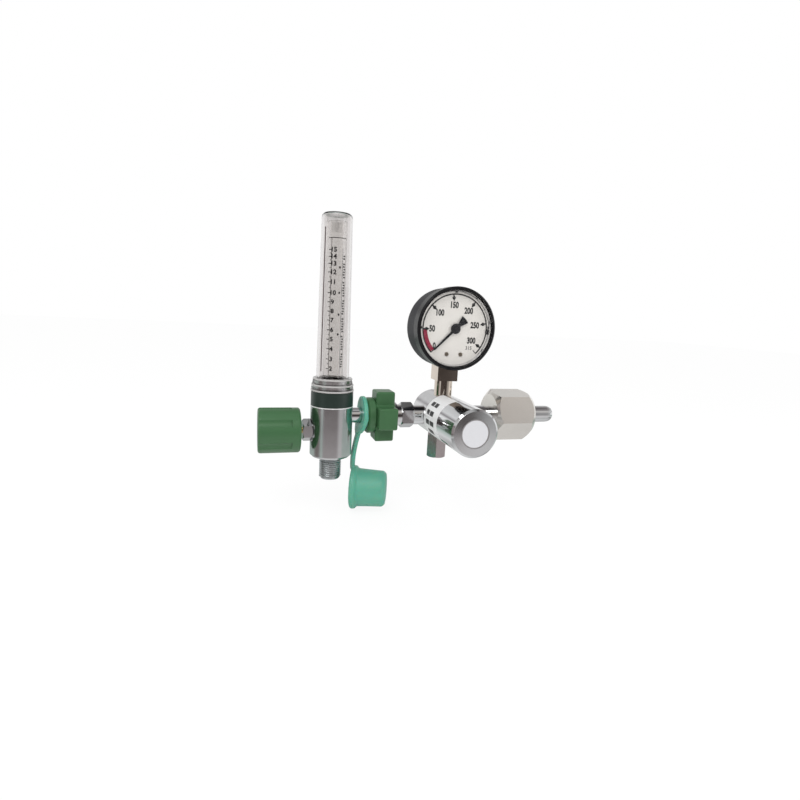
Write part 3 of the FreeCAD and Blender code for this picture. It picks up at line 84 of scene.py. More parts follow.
# %% Camera at the photograph's viewpoint
LENS = 23.094
SENSOR = 36.0
CAMERA_PLACE = Vector((-199.46, -321.3, 68.29)) * MM
yaw, pitch, roll = 0.294, -0.172, 0.053
ahead = Vector((math.sin(yaw) * math.cos(pitch), math.cos(yaw) * math.cos(pitch), math.sin(pitch)))
level = Vector((math.cos(yaw), -math.sin(yaw), 0.0))
above = level.cross(ahead)
right = level * math.cos(roll) + above * math.sin(roll)
top = above * math.cos(roll) - level * math.sin(roll)
camera_data = bpy.data.cameras.new("camera")
camera_data.sensor_width = SENSOR
camera_data.lens = LENS
camera = bpy.data.objects.new("camera", camera_data)
bpy.context.collection.objects.link(camera)
axes = Matrix((right, top, -ahead)).transposed().to_4x4()
camera.matrix_world = Matrix.Translation(CAMERA_PLACE) @ axes
bpy.context.scene.camera = camera
bpy.context.scene.view_settings.view_transform = "Standard"
print("camera lens", camera_data.lens)

# %% [markdown]
# ## Sockets that do sums
# A material is a net of small nodes. Written out one by one, even a simple sum takes many lines.
# A wrapped socket takes part in plain expressions, and one maker adds any other kind of node.


# %% A socket for expressions and a maker of nodes
class Port:
    """A socket of a node tree that can be added, subtracted, multiplied and compared."""

    def __init__(self, tree, socket):
        self.tree = tree
        self.socket = socket

    def sum(self, operation, first, second):
        return make(self.tree, "ShaderNodeMath", {"operation": operation}, {0: first, 1: second})

    def __add__(self, other):
        return self.sum("ADD", self, other)

    __radd__ = __add__

    def __mul__(self, other):
        return self.sum("MULTIPLY", self, other)

    def __sub__(self, other):
        return self.sum("SUBTRACT", self, other)

    def __rsub__(self, other):
        return self.sum("SUBTRACT", other, self)

    def __lt__(self, other):
        return self.sum("LESS_THAN", self, other)


def make(tree, kind, settings=None, values=None, out=0):
    """Add a node: its settings first, then the values or links of its sockets."""
    node = tree.nodes.new(kind)
    for name, setting in (settings or {}).items():
        if name == "stops":
            while len(node.color_ramp.elements) < len(setting):
                node.color_ramp.elements.new(0.5)
            for element, (position, shade) in zip(node.color_ramp.elements, setting):
                element.position = position
                element.color = shade
        else:
            setattr(node, name, setting)
    for name, value in (values or {}).items():
        if isinstance(value, Port):
            tree.links.new(value.socket, node.inputs[name])
        else:
            node.inputs[name].default_value = value
    return Port(tree, node.outputs[out])


def blended(tree, factor, first, second):
    """A colour between two others."""
    return make(tree, "ShaderNodeMix", {"data_type": "RGBA"}, {0: factor, 6: first, 7: second}, 2)


def grey(value):
    """A neutral colour."""
    return (value, value, value, 1.0)


print("expressions ready")

# %% [markdown]
# ## Finishes
# Each finish starts from the same shader. Plating needs a slight waviness to catch the light,
# moulded plastic a fine grain, and soft rubber a dull bloom. Only the things that change over a
# surface are linked; all other numbers stand on the shader's own sockets.


# %% A finish with its own small variations
def finish(name, colour, metallic, rough, **fixed):
    """A material and its shader, with the plain numbers set on it."""
    material = bpy.data.materials.new(name)
    material.use_nodes = True
    tree = material.node_tree
    shader = tree.nodes["Principled BSDF"]
    shader.inputs["Base Color"].default_value = (*colour, 1.0)
    shader.inputs["Metallic"].default_value = metallic
    shader.inputs["Roughness"].default_value = rough
    for key, value in fixed.items():
        shader.inputs[key.replace("_", " ")].default_value = value
    return material, tree, shader


def place(tree, scale=(1.0, 1.0, 1.0), centre=(0.0, 0.0, 0.0)):
    """Object coordinates, moved to a centre and stretched."""
    where = make(tree, "ShaderNodeTexCoord", out=3)
    shift = tuple(-c * s for c, s in zip(centre, scale))
    return make(tree, "ShaderNodeMapping", {}, {"Vector": where, "Location": shift, "Scale": scale})


def noise(tree, where, scale, detail=2.0):
    """Soft random spots between 0 and 1."""
    return make(tree, "ShaderNodeTexNoise", {}, {"Vector": where, "Scale": scale, "Detail": detail})


def surface(tree, shader, colour, rough, height=None, depth=0.0):
    """Link what varies: roughness, colour, and a height that becomes a bump."""
    tree.links.new(rough.socket, shader.inputs["Roughness"])
    if colour is not None:
        tree.links.new(colour.socket, shader.inputs["Base Color"])
    if height is not None:
        values = {"Height": height, "Strength": 1.0, "Distance": depth}
        bump = make(tree, "ShaderNodeBump", {}, values)
        tree.links.new(bump.socket, shader.inputs["Normal"])


def plated(name, colour, rough, wave, tint=0.05, metal=1.0):
    """Plated metal: slightly wavy, with a few duller patches."""
    material, tree, shader = finish(name, colour, metal, rough)
    where = place(tree)
    patches = noise(tree, where, 90.0)
    fine = noise(tree, where, 1600.0, 3.0)
    darker = tuple(c * (1.0 - tint * 3.0) for c in colour) + (1.0,)
    paler = tuple(min(1.0, c * (1.0 + tint)) for c in colour) + (1.0,)
    shade = blended(tree, patches, darker, paler)
    dullness = rough * 0.6 + patches * rough * 0.5 + fine * rough * 0.4
    surface(tree, shader, shade, dullness, patches, wave)
    return material


chrome = plated("chrome", (0.78, 0.79, 0.80), 0.07, 0.00002)
satin = plated("satin_nickel", (0.70, 0.70, 0.71), 0.16, 0.00002)
wire = plated("spring_wire", (0.50, 0.51, 0.53), 0.30, 0.00001)
brass = plated("brass", (0.76, 0.58, 0.30), 0.24, 0.00001)
dull_brass = plated("dull_brass", (0.42, 0.36, 0.28), 0.35, 0.00001)
nut_metal = plated("nut_nickel", (0.76, 0.73, 0.69), 0.15, 0.00001, 0.02, 0.88)
socket_metal = plated("socket_nickel", (0.70, 0.62, 0.54), 0.10, 0.00002)
relief_metal = plated("relief_nickel", (0.58, 0.52, 0.52), 0.22, 0.00001)
stud_metal = plated("stud_nickel", (0.56, 0.60, 0.61), 0.30, 0.00001)
# Pale, half-metal finish for the thin lip under the flowmeter's band: a painted highlight on its edge.
lip_highlight_paint = plated("lip_highlight_paint", (0.84, 0.83, 0.83), 0.30, 0.00001, 0.02, 0.35)
bronze = plated("bronze", (0.58, 0.42, 0.24), 0.55, 0.00003)
print("metals:", chrome.name, satin.name, wire.name, brass.name, bronze.name)

# %% [markdown]
# ## The bonnet's turned face
# The bonnet is polished on its side, but its front is turned on a lathe: it is duller there and
# falls away a little from the disc, like a very flat cone. A height that shrinks with the
# distance from the axis tilts the light on the face and leaves the round side as it is.


# %% Polished side and turned front
def turned_front(name, colour, rough, face_y, axis_x, fall):
    """Plated metal whose front face is a dull, very flat cone."""
    material, tree, shader = finish(name, colour, 1.0, rough)
    where = place(tree)
    parts = make(tree, "ShaderNodeSeparateXYZ", {}, {0: where}, out=1)
    from_axis = place(tree, (1.0, 0.0, 1.0), (axis_x, 0.0, 0.0))
    radius = make(tree, "ShaderNodeVectorMath", {"operation": "LENGTH"}, {0: from_axis}, out=1)
    patches = noise(tree, where, 500.0)
    front = parts < face_y
    dullness = rough + front * 0.16 + patches * 0.04
    surface(tree, shader, None, dullness, 0.0 - radius * fall, 1.0)
    return material


bonnet_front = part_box("bonnet")[0].y
bonnet_metal = turned_front(
    "turned_chrome", (0.74, 0.75, 0.76), 0.07, bonnet_front + 0.3 * MM, regulator_x, 0.12
)
print("bonnet:", bonnet_metal.name, "face at", round(bonnet_front / MM, 1), "mm")

# %% [markdown]
# ## Plastics and rubbers
# The knob and wing nut are moulded in a deep green with a soft gloss. The hanging cap is a
# softer, paler green. A fine grain in the bump breaks up the highlight, and a slow drift in
# the colour keeps large faces from looking painted.


# %% Moulded and rubber finishes
def moulded(name, colour, rough, drift=0.10, grain=0.00003, size=900.0, **fixed):
    """Moulded plastic or rubber with slow colour drift and a fine grain."""
    material, tree, shader = finish(name, colour, 0.0, rough, **fixed)
    where = place(tree)
    slow = noise(tree, where, 60.0)
    fine = noise(tree, where, size, 4.0)
    low = tuple(c * (1.0 - drift) for c in colour) + (1.0,)
    high = tuple(min(1.0, c * (1.0 + drift)) for c in colour) + (1.0,)
    shade = blended(tree, slow, low, high)
    dullness = rough * 0.85 + fine * rough * 0.3
    surface(tree, shader, shade, dullness, fine, grain)
    return material


green = moulded("green_plastic", (0.040, 0.118, 0.046), 0.34)
dark_green = moulded("dark_green_band", (0.014, 0.026, 0.021), 0.34, grain=0.00001)
teal = moulded(
    "teal_rubber",
    (0.095, 0.350, 0.250),
    0.45,
    0.08,
    0.00004,
    Subsurface_Weight=0.35,
    Subsurface_Scale=0.004,
)
black_rubber = moulded("black_rubber", (0.018, 0.018, 0.018), 0.55)
charcoal = moulded("charcoal_paint", (0.018, 0.018, 0.022), 0.42, size=1400.0, Specular_IOR_Level=0.12)
bezel_black = moulded("black_bezel", (0.008, 0.008, 0.009), 0.26, grain=0.00001, Specular_IOR_Level=0.2)
dial_white = moulded("dial_white", (0.64, 0.615, 0.58), 0.50, 0.02, 0.00001)
disc_white = moulded("disc_white", (0.56, 0.56, 0.58), 0.30, 0.02, 0.00001)
label_white = moulded("label_film", (0.76, 0.76, 0.76), 0.32, 0.02, 0.00001)
# Dark grey for the groove round the white disc: painted shade in that gap.
groove_shade_paint = moulded("groove_shade_paint", (0.20, 0.19, 0.19), 0.40, 0.05, 0.00001)
ink = moulded("black_ink", (0.012, 0.012, 0.013), 0.40, 0.05, 0.00001)
crimson = moulded("crimson_ink", (0.27, 0.005, 0.035), 0.40, 0.05, 0.00001)
pointer_black = moulded(
    "pointer_black", (0.008, 0.008, 0.010), 0.35, 0.05, 0.00001, Specular_IOR_Level=0.2
)
print("plastics:", green.name, teal.name, charcoal.name)


# %% [markdown]
# ## Clear plastics
# The cover, the tube inside it and the gauge's lens are clear mouldings. Light goes through the
# cover and the tube and bends less than in the real plastic, because four walls in front of the
# scale would otherwise dim it. Thin parts are simply faint, which costs nothing to render.


# %% Clear finishes
def clear(name, colour, rough, bend, alpha=1.0):
    """Clear plastic: light goes through it and bends a little."""
    through = 1.0 if alpha == 1.0 else 0.0
    material, tree, shader = finish(
        name, colour, 0.0, rough, Transmission_Weight=through, IOR=bend, Alpha=alpha
    )
    haze = noise(tree, place(tree), 400.0, 3.0)
    surface(tree, shader, None, rough * 0.5 + haze * rough)
    return material


clear_cover = clear("clear_plastic", (0.850, 0.832, 0.826), 0.04, 1.30)
clear_tube = clear("scale_tube", (0.90, 0.893, 0.88), 0.05, 1.25)
clear_stop = clear("nylon", (0.80, 0.79, 0.78), 0.08, 1.30, 0.12)
# Pale, half-clear finish for the collar's rings: it paints the light bands that reflections make in the
# clear collar.
ridge_highlight_paint = clear("ridge_highlight_paint", (0.62, 0.61, 0.60), 0.10, 1.45, 0.55)
clear_lens = clear("lens_plastic", (0.30, 0.30, 0.30), 0.03, 1.45, 0.03)
print("clear:", clear_cover.name, clear_tube.name, clear_lens.name)

# %% [markdown]
# ## One finish for each solid
# The record names a material for every solid. One table turns that name into a finish, and a
# short second one holds the few solids whose plating looks different in the photograph.

# %% Give every solid its finish
finishes = {
    "chrome": chrome,
    "satin_nickel": satin,
    "spring_steel": wire,
    "brass": brass,
    "sintered_bronze": bronze,
    "green_plastic": green,
    "dark_green_band": dark_green,
    "teal_rubber": teal,
    "black_rubber": black_rubber,
    "clear_plastic": clear_cover,
    "scale_tube": clear_tube,
    "lens_plastic": clear_lens,
    "charcoal_paint": charcoal,
    "black_bezel": bezel_black,
    "dial_white": dial_white,
    "pointer_black": pointer_black,
    "label_film": label_white,
    "disc_white": disc_white,
    "steel_ball": wire,
    "nylon": clear_stop,
}
special = {"inlet_nut": nut_metal, "gauge_socket": socket_metal}
special.update({"relief_body": relief_metal, "bonnet": bonnet_metal, "wing_nut_insert": satin})
special.update({"dial_screw_left": dull_brass, "dial_screw_right": dull_brass})
for name, solid in nodes.items():
    for held in solid.material_slots:
        held.material = special.get(name, finishes[slot_of[name]])
print("solids dressed:", len(nodes))

# %% [markdown]
# ## Pieces of our own
# Every new piece is a mesh that already stands where it belongs, with its object at the origin.
# One helper makes it, paints it, sets it on the body it rides on and hides the solid it stands for.


# %% Helpers that turn points into riding pieces
SHARP_ANGLE = 0.6


def piece(name, mesh, body, material, replaced=()):
    """Link a mesh as a finished piece."""
    thing = bpy.data.objects.new(name, mesh)
    bpy.context.collection.objects.link(thing)
    mesh.materials.clear()
    mesh.materials.append(material)
    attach(thing, body)
    if replaced:
        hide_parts(*replaced)
    print(name, len(mesh.polygons), "faces")
    return thing


def baked(holder):
    """What an object with its modifiers looks like, as a plain mesh; the object goes."""
    bpy.context.collection.objects.link(holder)
    graph = bpy.context.evaluated_depsgraph_get()
    made = bpy.data.meshes.new_from_object(holder.evaluated_get(graph), depsgraph=graph)
    bpy.data.objects.remove(holder)
    return made


def meshed(build, name):
    """The work of a bmesh as a mesh."""
    mesh = bpy.data.meshes.new(name)
    build.to_mesh(mesh)
    build.free()
    return mesh


def frame_of(start, axis):
    """A matrix that lays +Z of a mesh along an axis from a start point."""
    return Matrix.Translation(Vector(start)) @ Vector(axis).to_track_quat("Z", "Y").to_matrix().to_4x4()


def lathe(outline, start, axis, steps=96):
    """Turn (distance, radius) pairs about an axis; the outline closes on itself."""
    build = bmesh.new()
    rings = []
    for distance, radius in outline:
        ring = []
        for k in range(steps):
            angle = 2.0 * math.pi * k / steps
            ring.append(build.verts.new((radius * math.cos(angle), radius * math.sin(angle), distance)))
        rings.append(ring)
    for first, second in zip(rings, rings[1:] + rings[:1]):
        for k in range(steps):
            n = (k + 1) % steps
            build.faces.new((first[k], first[n], second[n], second[k]))
    bmesh.ops.remove_doubles(build, verts=build.verts, dist=1e-7)
    bmesh.ops.recalc_face_normals(build, faces=build.faces)
    build.transform(frame_of(start, axis))
    mesh = meshed(build, "turned")
    mesh.shade_smooth()
    mesh.set_sharp_from_angle(angle=SHARP_ANGLE)
    return mesh


def joined(meshes, name):
    """Several meshes as one."""
    build = bmesh.new()
    for mesh in meshes:
        build.from_mesh(mesh)
    return meshed(build, name)


print("edges sharper than", SHARP_ANGLE, "radians stay sharp")


# %% [markdown]
# ## Geometry nets
# What repeats or follows a path is grown by Geometry Nodes. Three helpers open a net with named
# inputs, close it, and run it on a mesh. An input is set by its socket's identifier, because
# that is the name under which the modifier keeps it.


# %% Helpers that open, close and run a net
def new_net(name, inputs):
    """An empty geometry net with named inputs; returns the net, its inputs and its output."""
    net = bpy.data.node_groups.new(name, "GeometryNodeTree")
    net.interface.new_socket("Geometry", in_out="INPUT", socket_type="NodeSocketGeometry")
    for label, kind, value in inputs:
        socket = net.interface.new_socket(label, in_out="INPUT", socket_type=kind)
        if value is not None:
            socket.default_value = value
    net.interface.new_socket("Geometry", in_out="OUTPUT", socket_type="NodeSocketGeometry")
    source = net.nodes.new("NodeGroupInput")
    result = net.nodes.new("NodeGroupOutput")
    ports = {socket.name: Port(net, socket) for socket in source.outputs if socket.name}
    return net, ports, result


def close_net(net, ports, result, geometry):
    """Realise the copies, set the material and finish the net."""
    plain = make(net, "GeometryNodeRealizeInstances", {}, {0: geometry})
    painted = make(net, "GeometryNodeSetMaterial", {}, {"Geometry": plain, "Material": ports["Material"]})
    net.links.new(painted.socket, result.inputs[0])


def grow(net, start_mesh, values):
    """Run a net on a mesh and return the result as a plain mesh."""
    holder = bpy.data.objects.new("holder", start_mesh)
    modifier = holder.modifiers.new("net", "NODES")
    modifier.node_group = net
    for item in net.interface.items_tree:
        if item.item_type == "SOCKET" and item.in_out == "INPUT" and item.name in values:
            modifier[item.identifier] = values[item.name]
    return baked(holder)


print("net helpers ready")

# %% [markdown]
# ## Cut threads
# A screw thread is one ridge that climbs a cylinder. Geometry Nodes draw it as a spiral with a
# four-cornered profile swept along it, half of the profile sunk in the core. Radius, depth,
# turns and length are named inputs, so another thread would need only other numbers.

# %% A net for a climbing ridge
ridge_net, ports, result = new_net(
    "ridge",
    [
        ("Radius", "NodeSocketFloat", 0.006),
        ("Depth", "NodeSocketFloat", 0.0006),
        ("Turns", "NodeSocketFloat", 9.0),
        ("Length", "NodeSocketFloat", 0.013),
        ("Material", "NodeSocketMaterial", None),
    ],
)
spiral = make(
    ridge_net,
    "GeometryNodeCurveSpiral",
    {},
    {
        "Resolution": 48,
        "Rotations": ports["Turns"],
        "Start Radius": ports["Radius"],
        "End Radius": ports["Radius"],
        "Height": ports["Length"],
    },
)
four_corners = {"Resolution": 4, "Radius": ports["Depth"]}
corners = make(ridge_net, "GeometryNodeCurvePrimitiveCircle", {}, four_corners)
swept = make(
    ridge_net,
    "GeometryNodeCurveToMesh",
    {},
    {"Curve": spiral, "Profile Curve": corners, "Fill Caps": True},
)
both = make(ridge_net, "GeometryNodeJoinGeometry", {}, {0: swept})
ridge_net.links.new(ports["Geometry"].socket, both.socket.node.inputs[0])
close_net(ridge_net, ports, result, both)
print("ridge net with", len(ridge_net.nodes), "nodes")


def threaded(core, radius, depth, pitch, length, start, axis, material):
    """A turned core with a ridge round it."""
    lay = frame_of(start, axis)
    core.transform(lay.inverted())
    values = {
        "Radius": radius - depth,
        "Depth": depth,
        "Turns": length / pitch,
        "Length": length,
        "Material": material,
    }
    made = grow(ridge_net, core, values)
    made.transform(lay)
    return made


# %% [markdown]
# ## The humidifier stud
# Under the flowmeter hangs a bright threaded stud with a chamfered end and a gas hole. The solid
# is a plain cylinder at the crest of the thread, so this piece stands in for it, with a core
# cut down to the root and the ridge climbing up it.

# %% Humidifier stud with its thread
THREAD_DEPTH = 0.62 * MM
THREAD_PITCH = 1.41 * MM
THREAD_LENGTH = 12.2 * MM
THREAD_RISE = 1.3 * MM
STUD_BORE = 1.9 * MM
STUD_TENON = 5.0 * MM
low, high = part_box("outlet_stud")
stud_radius = (high.x - low.x) / 2.0
root = stud_radius - THREAD_DEPTH
shoulder_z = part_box("meter_body")[0].z
outline = [
    (0.0, STUD_BORE),
    (0.0, root - 0.7 * MM),
    (1.0 * MM, root),
    (shoulder_z - low.z, root),
    (shoulder_z - low.z, STUD_TENON),
    (high.z - low.z, STUD_TENON),
    (high.z - low.z, STUD_BORE),
]
core = lathe(outline, (meter_x, 0, low.z), (0, 0, 1))
foot = (meter_x, 0, low.z + THREAD_RISE)
stud = threaded(
    core, stud_radius, THREAD_DEPTH, THREAD_PITCH, THREAD_LENGTH, foot, (0, 0, 1), stud_metal
)
piece("stud_thread", stud, "regulator", stud_metal, ("outlet_stud",))

# %% [markdown]
# ## Marks round a centre
# Dial marks, scale marks and the small tabs of the dial's rim are all the same thing: a small
# block set on a point and turned to face away from a centre. The points come from Python, and
# the net sets the blocks.

# %% A net for blocks that face outwards
mark_inputs = [
    ("Centre", "NodeSocketVector", (0.0, 0.0, 0.0)),
    ("Flatten", "NodeSocketVector", (1.0, 0.0, 1.0)),
    ("Block", "NodeSocketVector", (0.001, 0.001, 0.001)),
    ("Material", "NodeSocketMaterial", None),
]


def mark_net(name, pivot, pointed=False):
    """Blocks or flat diamonds on points, turned about one axis to face outwards."""
    net, ports, result = new_net(name, mark_inputs)
    where = make(net, "GeometryNodeInputPosition")
    away = make(net, "ShaderNodeVectorMath", {"operation": "SUBTRACT"}, {0: where, 1: ports["Centre"]})
    flat = make(net, "ShaderNodeVectorMath", {"operation": "MULTIPLY"}, {0: away, 1: ports["Flatten"]})
    turn = make(
        net, "FunctionNodeAlignRotationToVector", {"axis": "X", "pivot_axis": pivot}, {"Vector": flat}
    )
    if pointed:
        four_sides = {"Vertices": 4, "Radius": 0.5}
        diamond = make(net, "GeometryNodeMeshCircle", {"fill_type": "NGON"}, four_sides)
        values = {"Geometry": diamond, "Rotation": (math.pi / 2, 0.0, 0.0), "Scale": ports["Block"]}
        block = make(net, "GeometryNodeTransform", {}, values)
    else:
        block = make(net, "GeometryNodeMeshCube", {}, {"Size": ports["Block"]})
    values = {"Points": ports["Geometry"], "Instance": block, "Rotation": turn}
    close_net(net, ports, result, make(net, "GeometryNodeInstanceOnPoints", {}, values))
    return net


dial_marks = mark_net("dial_marks", "Y")
dial_diamonds = mark_net("dial_diamonds", "Y", True)
tube_marks = mark_net("tube_marks", "Z")


def dots(points):
    """A mesh of loose points."""
    mesh = bpy.data.meshes.new("points")
    mesh.from_pydata([tuple(point) for point in points], [], [])
    return mesh


print("mark nets ready")

# %% [markdown]
# ## The gauge's dial
# The white face carries a black line along three quarters of a circle, six pointed marks, plain
# numbers up to 300 and a crimson band at the empty end. Every print lies a hair above the face
# and is cut as a flat sheet, so that no colour depends on a picture. First the places.

# %% Where a reading stands on the dial
face_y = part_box("gauge_dial")[0].y
print_y = face_y - 0.04 * MM
ARC = 21.7 * MM
ZERO_AT = 225.0
SWEEP = 270.0
FULL_SCALE = 315.0


def dial_point(radius, degrees, y=print_y):
    """A point on the dial; degrees run from +X towards +Z."""
    angle = math.radians(degrees)
    return Vector((regulator_x + radius * math.cos(angle), y, gauge_z + radius * math.sin(angle)))


def reading(value):
    """The dial's angle for a pressure; 0 is at the lower left."""
    return ZERO_AT - value * SWEEP / FULL_SCALE


def flat_band(inner, outer, first, last, steps, y=print_y):
    """Part of a flat ring on the dial, facing the user."""
    build = bmesh.new()
    pairs = []
    for k in range(steps + 1):
        degrees = first + (last - first) * k / steps
        pairs.append(
            (build.verts.new(dial_point(inner, degrees, y)), build.verts.new(dial_point(outer, degrees, y)))
        )
    for (a, b), (c, d) in zip(pairs, pairs[1:]):
        build.faces.new((a, b, d, c))
    for face in build.faces:
        face.normal_update()
        if face.normal.y > 0:
            face.normal_flip()
    return meshed(build, "band")


print("zero at", reading(0), "degrees, 300 at", round(reading(300), 1))


# %% [markdown]
# ## Line, numbers and coloured band
# The dial is printed in black, with crimson where the cylinder is nearly empty. The numbers are
# text curves made into flat meshes. They are narrowed and thickened, because the printed ones
# are tall and heavy.


# %% Plain numbers as flat sheets
def lettering(text, height, thicken, narrow=1.0):
    """A number as a mesh in its own plane, centred on the origin."""
    curve = bpy.data.curves.new("number", "FONT")
    curve.body = text
    curve.size = height * 1.4
    curve.align_x = "CENTER"
    curve.align_y = "CENTER"
    curve.offset = thicken
    curve.resolution_u = 3
    mesh = baked(bpy.data.objects.new("number", curve))
    mesh.transform(Matrix.Diagonal((narrow, 1.0, 1.0, 1.0)))
    return mesh


def stood_up(mesh, spot):
    """A flat mesh turned to face the user, at a point of the dial."""
    mesh.transform(Matrix.Translation(spot) @ Matrix.Rotation(math.pi / 2, 4, "X"))
    return mesh


HALF_LINE = 0.44 * MM
NUMBER_HEIGHT = 3.8 * MM
SMALL_HEIGHT = 2.3 * MM
number_reach = {0: 17.6, 50: 15.6, 100: 14.6, 150: 14.8, 200: 14.3, 250: 13.6, 300: 13.8}
prints = [flat_band(ARC - HALF_LINE, ARC + HALF_LINE, reading(0), reading(FULL_SCALE), 120)]
for value, reach in number_reach.items():
    # The nought stands a little past the start of the line.
    aside = 5.0 if value == 0 else 0.0
    number = lettering(str(value), NUMBER_HEIGHT, 0.00024, 0.74)
    prints.append(stood_up(number, dial_point(reach * MM, reading(value) - aside)))
small = lettering("315", SMALL_HEIGHT, 0.00003, 0.95)
prints.append(stood_up(small, dial_point(15.8 * MM, -50.0)))
piece("dial_numbers", joined(prints, "dial_numbers"), "regulator", ink)
band = flat_band(ARC - 2.9 * MM, ARC - 0.3 * MM, reading(0) - 1.0, reading(50), 24)
piece("dial_empty_band", band, "regulator", crimson)

# %% [markdown]
# ## Pointed marks
# Every fifty units a pointed mark hangs from the line: a short bar with a diamond on it. Two
# short bars close the line at its ends. All of them are copies that one net sets on points.


# %% Pointed marks and small end marks
def set_on_dial(name, net, points, block, y=print_y):
    """Copies of a block on points of the dial, facing outwards."""
    values = {
        "Centre": (regulator_x, y, gauge_z),
        "Flatten": (1.0, 0.0, 1.0),
        "Block": block,
        "Material": ink,
    }
    piece(name, grow(net, dots(points), values), "regulator", ink)


PRINT_THICKNESS = 0.04 * MM
marked = [reading(value) for value in range(50, 301, 50)]
sticks = [dial_point(ARC - 2.0 * MM, degrees) for degrees in marked]
set_on_dial("dial_marks", dial_marks, sticks, (4.0 * MM, PRINT_THICKNESS, 0.85 * MM))
heads = [dial_point(ARC - 2.3 * MM, degrees) for degrees in marked]
set_on_dial("dial_mark_heads", dial_diamonds, heads, (3.9 * MM, 2.5 * MM, 1.0))
ends = [dial_point(ARC - 1.4 * MM, degrees) for degrees in (reading(0), reading(FULL_SCALE))]
set_on_dial("dial_end_marks", dial_marks, ends, (2.8 * MM, PRINT_THICKNESS, 0.5 * MM))

# %% [markdown]
# ## Rim, tabs and catch
# A bright rim stands between the dial and the lens and holds the dial flat. Three dark tabs and
# one round catch keep it in place. The rim is turned, and the tabs are set by the dial's net.

# %% Rim that holds the dial, with its tabs
RIM_RADIUS = 24.3 * MM
rim_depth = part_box("gauge_lens")[1].y - face_y + 0.1 * MM
rim_outline = [
    (0.0, 23.0 * MM),
    (0.0, RIM_RADIUS),
    (rim_depth, RIM_RADIUS),
    (rim_depth, 23.9 * MM),
]
rim = lathe(rim_outline, (regulator_x, face_y, gauge_z), (0, 1, 0), 128)
piece("dial_rim", rim, "regulator", satin)
tabs = [dial_point(23.1 * MM, degrees, face_y - 0.3 * MM) for degrees in (4.0, 92.0, 180.0)]
set_on_dial("dial_tabs", dial_marks, tabs, (1.2 * MM, 0.6 * MM, 1.5 * MM), face_y)
CATCH_RADIUS = 1.7 * MM
catch_outline = [(0.0, 0.0), (0.0, CATCH_RADIUS), (0.5 * MM, CATCH_RADIUS), (0.5 * MM, 0.0)]
catch = lathe(catch_outline, dial_point(22.7 * MM, -3.0, face_y), (0, -1, 0), 32)
piece("dial_catch", catch, "regulator", ink)

# %% [markdown]
# ## The pointer's face
# The pointer is a thin pressed blade with a fan as its tail, and a round boss covers its hub.
# All three ride on the pointer's body, so they turn with the reading. Blade and fan are drawn
# flat, and a Solidify modifier makes them a sheet.

# %% Boss, blade and tail
low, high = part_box("gauge_pointer")
boss_outline = [
    (0.0, 0.0),
    (0.0, 3.3 * MM),
    (0.25 * MM, 3.1 * MM),
    (0.45 * MM, 1.2 * MM),
    (0.5 * MM, 0.0),
]
boss = lathe(boss_outline, (regulator_x, low.y, gauge_z), (0, -1, 0), 48)
piece("pointer_boss", boss, "gauge_pointer", pointer_black)
FAN_HALF = 19.0
pointer_y = low.y - 0.02 * MM
tail_way = math.degrees(math.atan2(high.z - gauge_z, high.x - regulator_x))
tail = flat_band(2.2 * MM, 9.0 * MM, tail_way - FAN_HALF, tail_way + FAN_HALF, 12, pointer_y)
build = bmesh.new()
build.from_mesh(tail)
corners = []
for radius, half in ((2.5, -0.85), (19.4, -0.50), (19.4, 0.50), (2.5, 0.85)):
    degrees = tail_way + 180.0 + math.degrees(half / radius)
    corners.append(build.verts.new(dial_point(radius * MM, degrees, pointer_y)))
blade = build.faces.new(corners)
blade.normal_update()
if blade.normal.y > 0:
    blade.normal_flip()
holder = bpy.data.objects.new("pointer_sheet", meshed(build, "pointer_sheet"))
sheet = holder.modifiers.new("sheet", "SOLIDIFY")
sheet.thickness = 0.3 * MM
piece("pointer_face", baked(holder), "gauge_pointer", pointer_black)
print("pointer's tail points to", round(tail_way, 1), "degrees")

# %% [markdown]
# ## The flowmeter's scale
# The inner tube carries a frame line, a column of marks and numbers from 1 to 15 that stand
# closer together towards the top. They are sheets bent onto the tube: each flat point keeps its
# height, and its width becomes an angle round the tube.

# %% Sheets bent round the tube
tube_radius = (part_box("metering_tube")[1].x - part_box("metering_tube")[0].x) / 2.0
scale_radius = tube_radius + 0.05 * MM


def bent(mesh, degrees, z):
    """Bend a flat mesh onto the tube; degrees run from -Y towards +X."""
    for vertex in mesh.vertices:
        angle = math.radians(degrees) + vertex.co.x / scale_radius
        height = z + vertex.co.y
        vertex.co = (
            meter_x + scale_radius * math.sin(angle),
            -scale_radius * math.cos(angle),
            height,
        )
    return mesh


def bar(width, height, columns=8):
    """A flat rectangle with enough columns to bend."""
    build = bmesh.new()
    bmesh.ops.create_grid(build, x_segments=columns, y_segments=1, size=0.5)
    bmesh.ops.scale(build, vec=(width, height, 1.0), verts=build.verts)
    return meshed(build, "bar")


print("printed surface at radius", round(scale_radius / MM, 2), "mm")

# %% [markdown]
# ## Numbers and lines on the tube
# The heights of the numbers were read off the photograph: they stand about 6 mm apart below and
# 4 mm above. Each line of the print has its own side of the tube, given in degrees.

